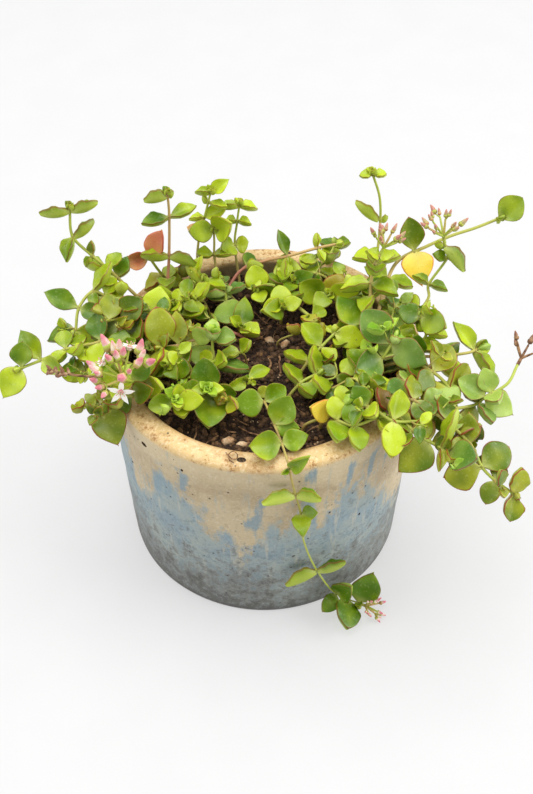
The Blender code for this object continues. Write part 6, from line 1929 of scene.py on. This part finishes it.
def build_pot(finishes):
    """The pot, a little uneven as thrown, with open pits in its glaze."""
    verts, faces = turned(pot_profile(), FINE_SIDES)
    for vert in verts:
        turn = atan2(vert.y, vert.x)
        wave = sin(vert.z * 0.33 + turn) * 0.5 + sin(vert.z * 0.9 + turn * 2) * 0.2
        wave += sin(turn * 3 + 1.0) * 0.6 + sin(turn * 7 + vert.z * 0.05) * 0.3
        grow = 1 + THROWING_WAVE * wave / POT_TOP_RADIUS
        vert.x *= grow
        vert.y *= grow
        if vert.z > POT_HEIGHT - 4:
            broad, short = RIM_WAVES
            vert.z += broad * sin(turn * 2 + 0.6) + short * sin(turn * 5)
    pot = show("pot_stoneware", closed_mesh("pot_stoneware", [v * MM for v in verts], faces, {}))
    pot.data.materials.append(finishes["stoneware"])
    carve_pits(pot, finishes["clay"])
    glaze_fields(pot.data)
    pot.data.shade_smooth()
    pot.data.set_sharp_from_angle(angle=radians(45))
    hand_over(pot, "stoneware", "pot")


def glaze_fields(mesh):
    """Stores how far each point lies in the beige glaze and in the blue runs."""
    beige = []
    blue = []
    for vert in mesh.vertices:
        place = vert.co / MM
        turn = degrees(atan2(place.y, place.x))
        k = next(k for k in range(1, len(GLAZE_LINE)) if turn <= GLAZE_LINE[k][0])
        (low_turn, low_line), (high_turn, high_line) = GLAZE_LINE[k - 1], GLAZE_LINE[k]
        share = (turn - low_turn) / (high_turn - low_turn)
        share = share * share * (3 - 2 * share)
        line = low_line + (high_line - low_line) * share
        beige.append((place.z - line) / POT_HEIGHT)
        depth = 0.0
        for middle, top, bottom, half in BLUE_RUNS:
            aside = (turn - middle - (place.z - top) * RUN_SLANT) / half
            down = min((top - place.z) / RUN_TOP_FADE, (place.z - bottom) / RUN_END_FADE, 1.0)
            depth = max(depth, exp(-aside * aside) * max(down, 0.0))
        blue.append(depth)
    set_field(mesh, "beige", "FLOAT", beige)
    set_field(mesh, "blue", "FLOAT", blue)


def pit_places():
    """Centre, outward direction and width of every pit."""
    up = Vector((0, 0, 1))
    for turn, z, width in PITS:
        out = Matrix.Rotation(radians(turn), 3, "Z") @ Vector((1, 0, 0))
        yield out * wall_radius(z) + up * z, out, width
    for turn, radius, width in RIM_PITS:
        out = Matrix.Rotation(radians(turn), 3, "Z") @ Vector((1, 0, 0))
        yield out * radius + up * POT_HEIGHT, up, width


def carve_pits(pot, clay):
    """Cuts the pits out of the wall and lines them with bare clay."""
    work = bmesh.new()
    for number, (centre, out, width) in enumerate(pit_places()):
        turn = upright(out).to_matrix().to_4x4()
        wide = Matrix.Diagonal((width * 1.25, width * 0.9, width * 0.55, 1))
        at = Matrix.Translation(centre - out * width * 0.1)
        spin = Matrix.Rotation(number * 1.3, 4, "Z")
        made = bmesh.ops.create_icosphere(work, subdivisions=3, radius=0.5 * MM)
        for vert in made["verts"]:
            vert.co = (at @ turn @ spin @ wide @ (vert.co / MM)) * MM
    mesh = bpy.data.meshes.new("pits")
    work.to_mesh(mesh)
    work.free()
    mesh.materials.append(clay)
    tool = show("pits", mesh)
    step = pot.modifiers.new("Pits", "BOOLEAN")
    step.operation = "DIFFERENCE"
    step.object = tool
    step.solver = "EXACT"
    step.material_mode = "TRANSFER"
    applied(pot, step)
    bpy.data.objects.remove(tool)


# Soil


def soil_disc(reach):
    """Points and faces of the soil's top out to a radius, in fine rings."""
    rings = int(reach / SOIL_FINE_STEP)
    verts = [Vector((0.0, 0.0, 0.0))]
    for ring in range(1, rings + 1):
        verts += ring_points(reach * ring / rings, 0.0, SOIL_FINE_SIDES)
    for vert in verts:
        x, y = vert.x, vert.y
        rough = sin(x * 1.9) * cos(y * 2.1) + sin(x * 3.7 + y * 3.1)
        vert.z = soil_height(x, y) + SOIL_GRAIN * 0.5 * rough
    faces = [(0, 1 + k, 1 + (k + 1) % SOIL_FINE_SIDES) for k in range(SOIL_FINE_SIDES)]
    for a, b, c, d in ring_faces(rings, SOIL_FINE_SIDES):
        faces.append((a + 1, d + 1, c + 1, b + 1))
    return verts, faces


def build_soil(finishes):
    """The soil's rough top and plug, its crumbs, grit, chips and rootlets."""
    reach = well_radius(SOIL_TOP) - GAP - 0.1
    verts, faces = soil_disc(reach)
    top = new_mesh("soil_top", verts, (), faces)
    rim = len(verts) - SOIL_FINE_SIDES
    low = [Vector((v.x, v.y, 0)) * (POT_WELL_RADIUS - GAP - 0.1) / reach for v in verts[rim:]]
    start = len(verts)
    verts += [v + Vector((0, 0, POT_FLOOR + GAP)) for v in low] + [Vector((0, 0, POT_FLOOR + GAP))]
    for k in range(SOIL_FINE_SIDES):
        nxt = (k + 1) % SOIL_FINE_SIDES
        faces.append((rim + k, start + k, start + nxt, rim + nxt))
        faces.append((start + k, start + SOIL_FINE_SIDES, start + nxt))
    bed = show("soil_bed", closed_mesh("soil_bed", [v * MM for v in verts], faces, {}))
    bed.data.materials.append(finishes["soil"])
    hand_over(bed, "potting_soil", "soil")
    for name, shapes, finish, density, smallest, largest, seed in STREWN:
        piece = grown(show(name, top.copy()), TREES["strew"], {
            "Shapes": SHAPES[shapes], "Finish": finishes[finish], "Per square metre": density,
            "Smallest": smallest * MM, "Largest": largest * MM, "Seed": seed})
        hand_over(piece, "potting_soil", "soil")
    build_chips(finishes)
    build_rootlets(finishes)
    bpy.data.meshes.remove(top)


def build_chips(finishes):
    """Pumice chips, half sunk in the soil."""
    draw = random.Random(SEED + 7)
    copies = []
    for x, y, size in CHIPS:
        spin = Quaternion((0, 0, 1), draw.uniform(0, 6.28))
        turn = spin @ Quaternion((1, 0, 0), draw.uniform(-0.3, 0.3))
        place = Vector((x, y, soil_height(x, y) + size * 0.1))
        copies.append((place, turn, Vector((1.15, 1.0, 0.8)) * size, draw.randrange(3), 0.5))
    chips = placed("soil_chips", copies, SHAPES["clods"], finishes["pumice"])
    hand_over(chips, "potting_soil", "soil")


def build_rootlets(finishes):
    """Dry rootlets and stalk bits that lie on the soil."""
    draw = random.Random(SEED + 8)
    lines = []
    for _ in range(ROOTLETS):
        reach = ROOTLET_SPREAD * sqrt(draw.random())
        turn = draw.uniform(0, 6.28)
        x, y = reach * cos(turn), reach * sin(turn)
        way = draw.uniform(0, 6.28)
        thick = draw.choice(ROOTLET_RADII)
        line = []
        for _ in range(draw.randint(4, 8)):
            if hypot(x, y) < ROOTLET_LIMIT:
                z = soil_height(x, y) + 0.5 + draw.uniform(0, 0.9)
                line.append((Vector((x, y, z)), thick, 0.5, 0.0))
            way += draw.uniform(-0.6, 0.6)
            x += ROOTLET_STEP * cos(way)
            y += ROOTLET_STEP * sin(way)
        if len(line) > 2:
            lines.append((draw.random(), line))
    rim_root = [Vector(point) for point in RIM_ROOT]
    steps = 3 * (len(rim_root) - 1)
    lines.append((0.5, [(lengthwise(rim_root, k / 3)[0], RIM_ROOT_RADIUS, 0.5, 0.0)
                        for k in range(steps + 1)]))
    hand_over(swept("soil_rootlets", lines, finishes["dry"], 6), "dry_stalk")


# Everything together


def make_finishes():
    """Every finish by its short name."""
    finishes = {row[0]: leaf_finish(*row[1:]) for row in LEAVES}
    finishes.update({row[0]: petal_finish(*row[1:]) for row in PETALS})
    finishes.update({row[0]: earth_finish(*row[1:]) for row in EARTHS})
    finishes.update({"shoot": shoot_finish(), "dry": dry_finish(), "clay": clay_finish(),
                     "stoneware": stoneware_finish(), "pumice": pumice_finish()})
    return finishes


def make_shapes():
    """Every group of master shapes by its short name."""
    return {
        "blades": shape_group("blades", [blade_mesh(*row) for row in BLADES]),
        "blossom": shape_group("blossom", [
            bud_mesh("part_a_bud", BUD_PROFILE, 0.08), bud_mesh("part_b_cup", CUP_PROFILE, 0.1),
            blade_mesh(*PETAL_BLADE)]),
        "grains": shape_group("grains", [lump_mesh("grain_%d" % k, 20 + k, 1, 0.3) for k in range(5)]),
        "clods": shape_group("clods", [lump_mesh("clod_%d" % k, 40 + k, 2, 0.2) for k in range(5)]),
    }


def aimed(obj, place, aim):
    """Stands a light or a camera at a place, aimed at another."""
    obj.location = place
    obj.rotation_euler = (Vector(aim) - Vector(place)).to_track_quat("-Z", "Y").to_euler()
    bpy.context.scene.collection.objects.link(obj)


def make_stage():
    """The pale floor, the soft lights and the camera of the photograph."""
    mesh = bpy.data.meshes.new("floor")
    corners = [(x * FLOOR_REACH, y * FLOOR_REACH, 0) for x, y in ((-1, -1), (1, -1), (1, 1), (-1, 1))]
    mesh.from_pydata(corners, [], [(0, 1, 2, 3)])
    mesh.materials.append(floor_finish())
    show("floor", mesh)
    for name, place, aim, size, power in LIGHTS:
        light = bpy.data.lights.new(name, "AREA")
        light.size = size
        light.energy = power
        aimed(bpy.data.objects.new(name, light), place, aim)
    world = bpy.data.worlds.new("white room")
    world.use_nodes = True
    room = world.node_tree.nodes["Background"]
    room.inputs["Color"].default_value = (1, 1, 1, 1)
    room.inputs["Strength"].default_value = ROOM_LIGHT
    bpy.context.scene.world = world
    camera = bpy.data.objects.new("camera", bpy.data.cameras.new("camera"))
    camera.data.lens = CAMERA_LENS
    camera.location = CAMERA_PLACE
    camera.rotation_euler = (radians(CAMERA_TILT), 0, 0)
    bpy.context.scene.collection.objects.link(camera)
    bpy.context.scene.camera = camera
    bpy.context.scene.view_settings.view_transform = "Standard"


TREES = {"place": placing_tree(), "sweep": sweeping_tree(), "strew": strewing_tree()}
SHAPES = make_shapes()


def build_all():
    """Every piece of the plant and its pot."""
    finishes = make_finishes()
    stems, heads, crowd = plan_plant()
    draw = random.Random(SEED + 1)
    build_pot(finishes)
    build_soil(finishes)
    runners = [runner(number, crowd, draw) for number in range(RUNNERS)]
    for stem in stems + [stem for stem in runners if stem]:
        build_stem(stem, crowd, finishes, draw)
    build_husks(stems[-1], finishes, draw)
    for head in heads:
        build_head(head, finishes, draw)


build_all()
make_stage()
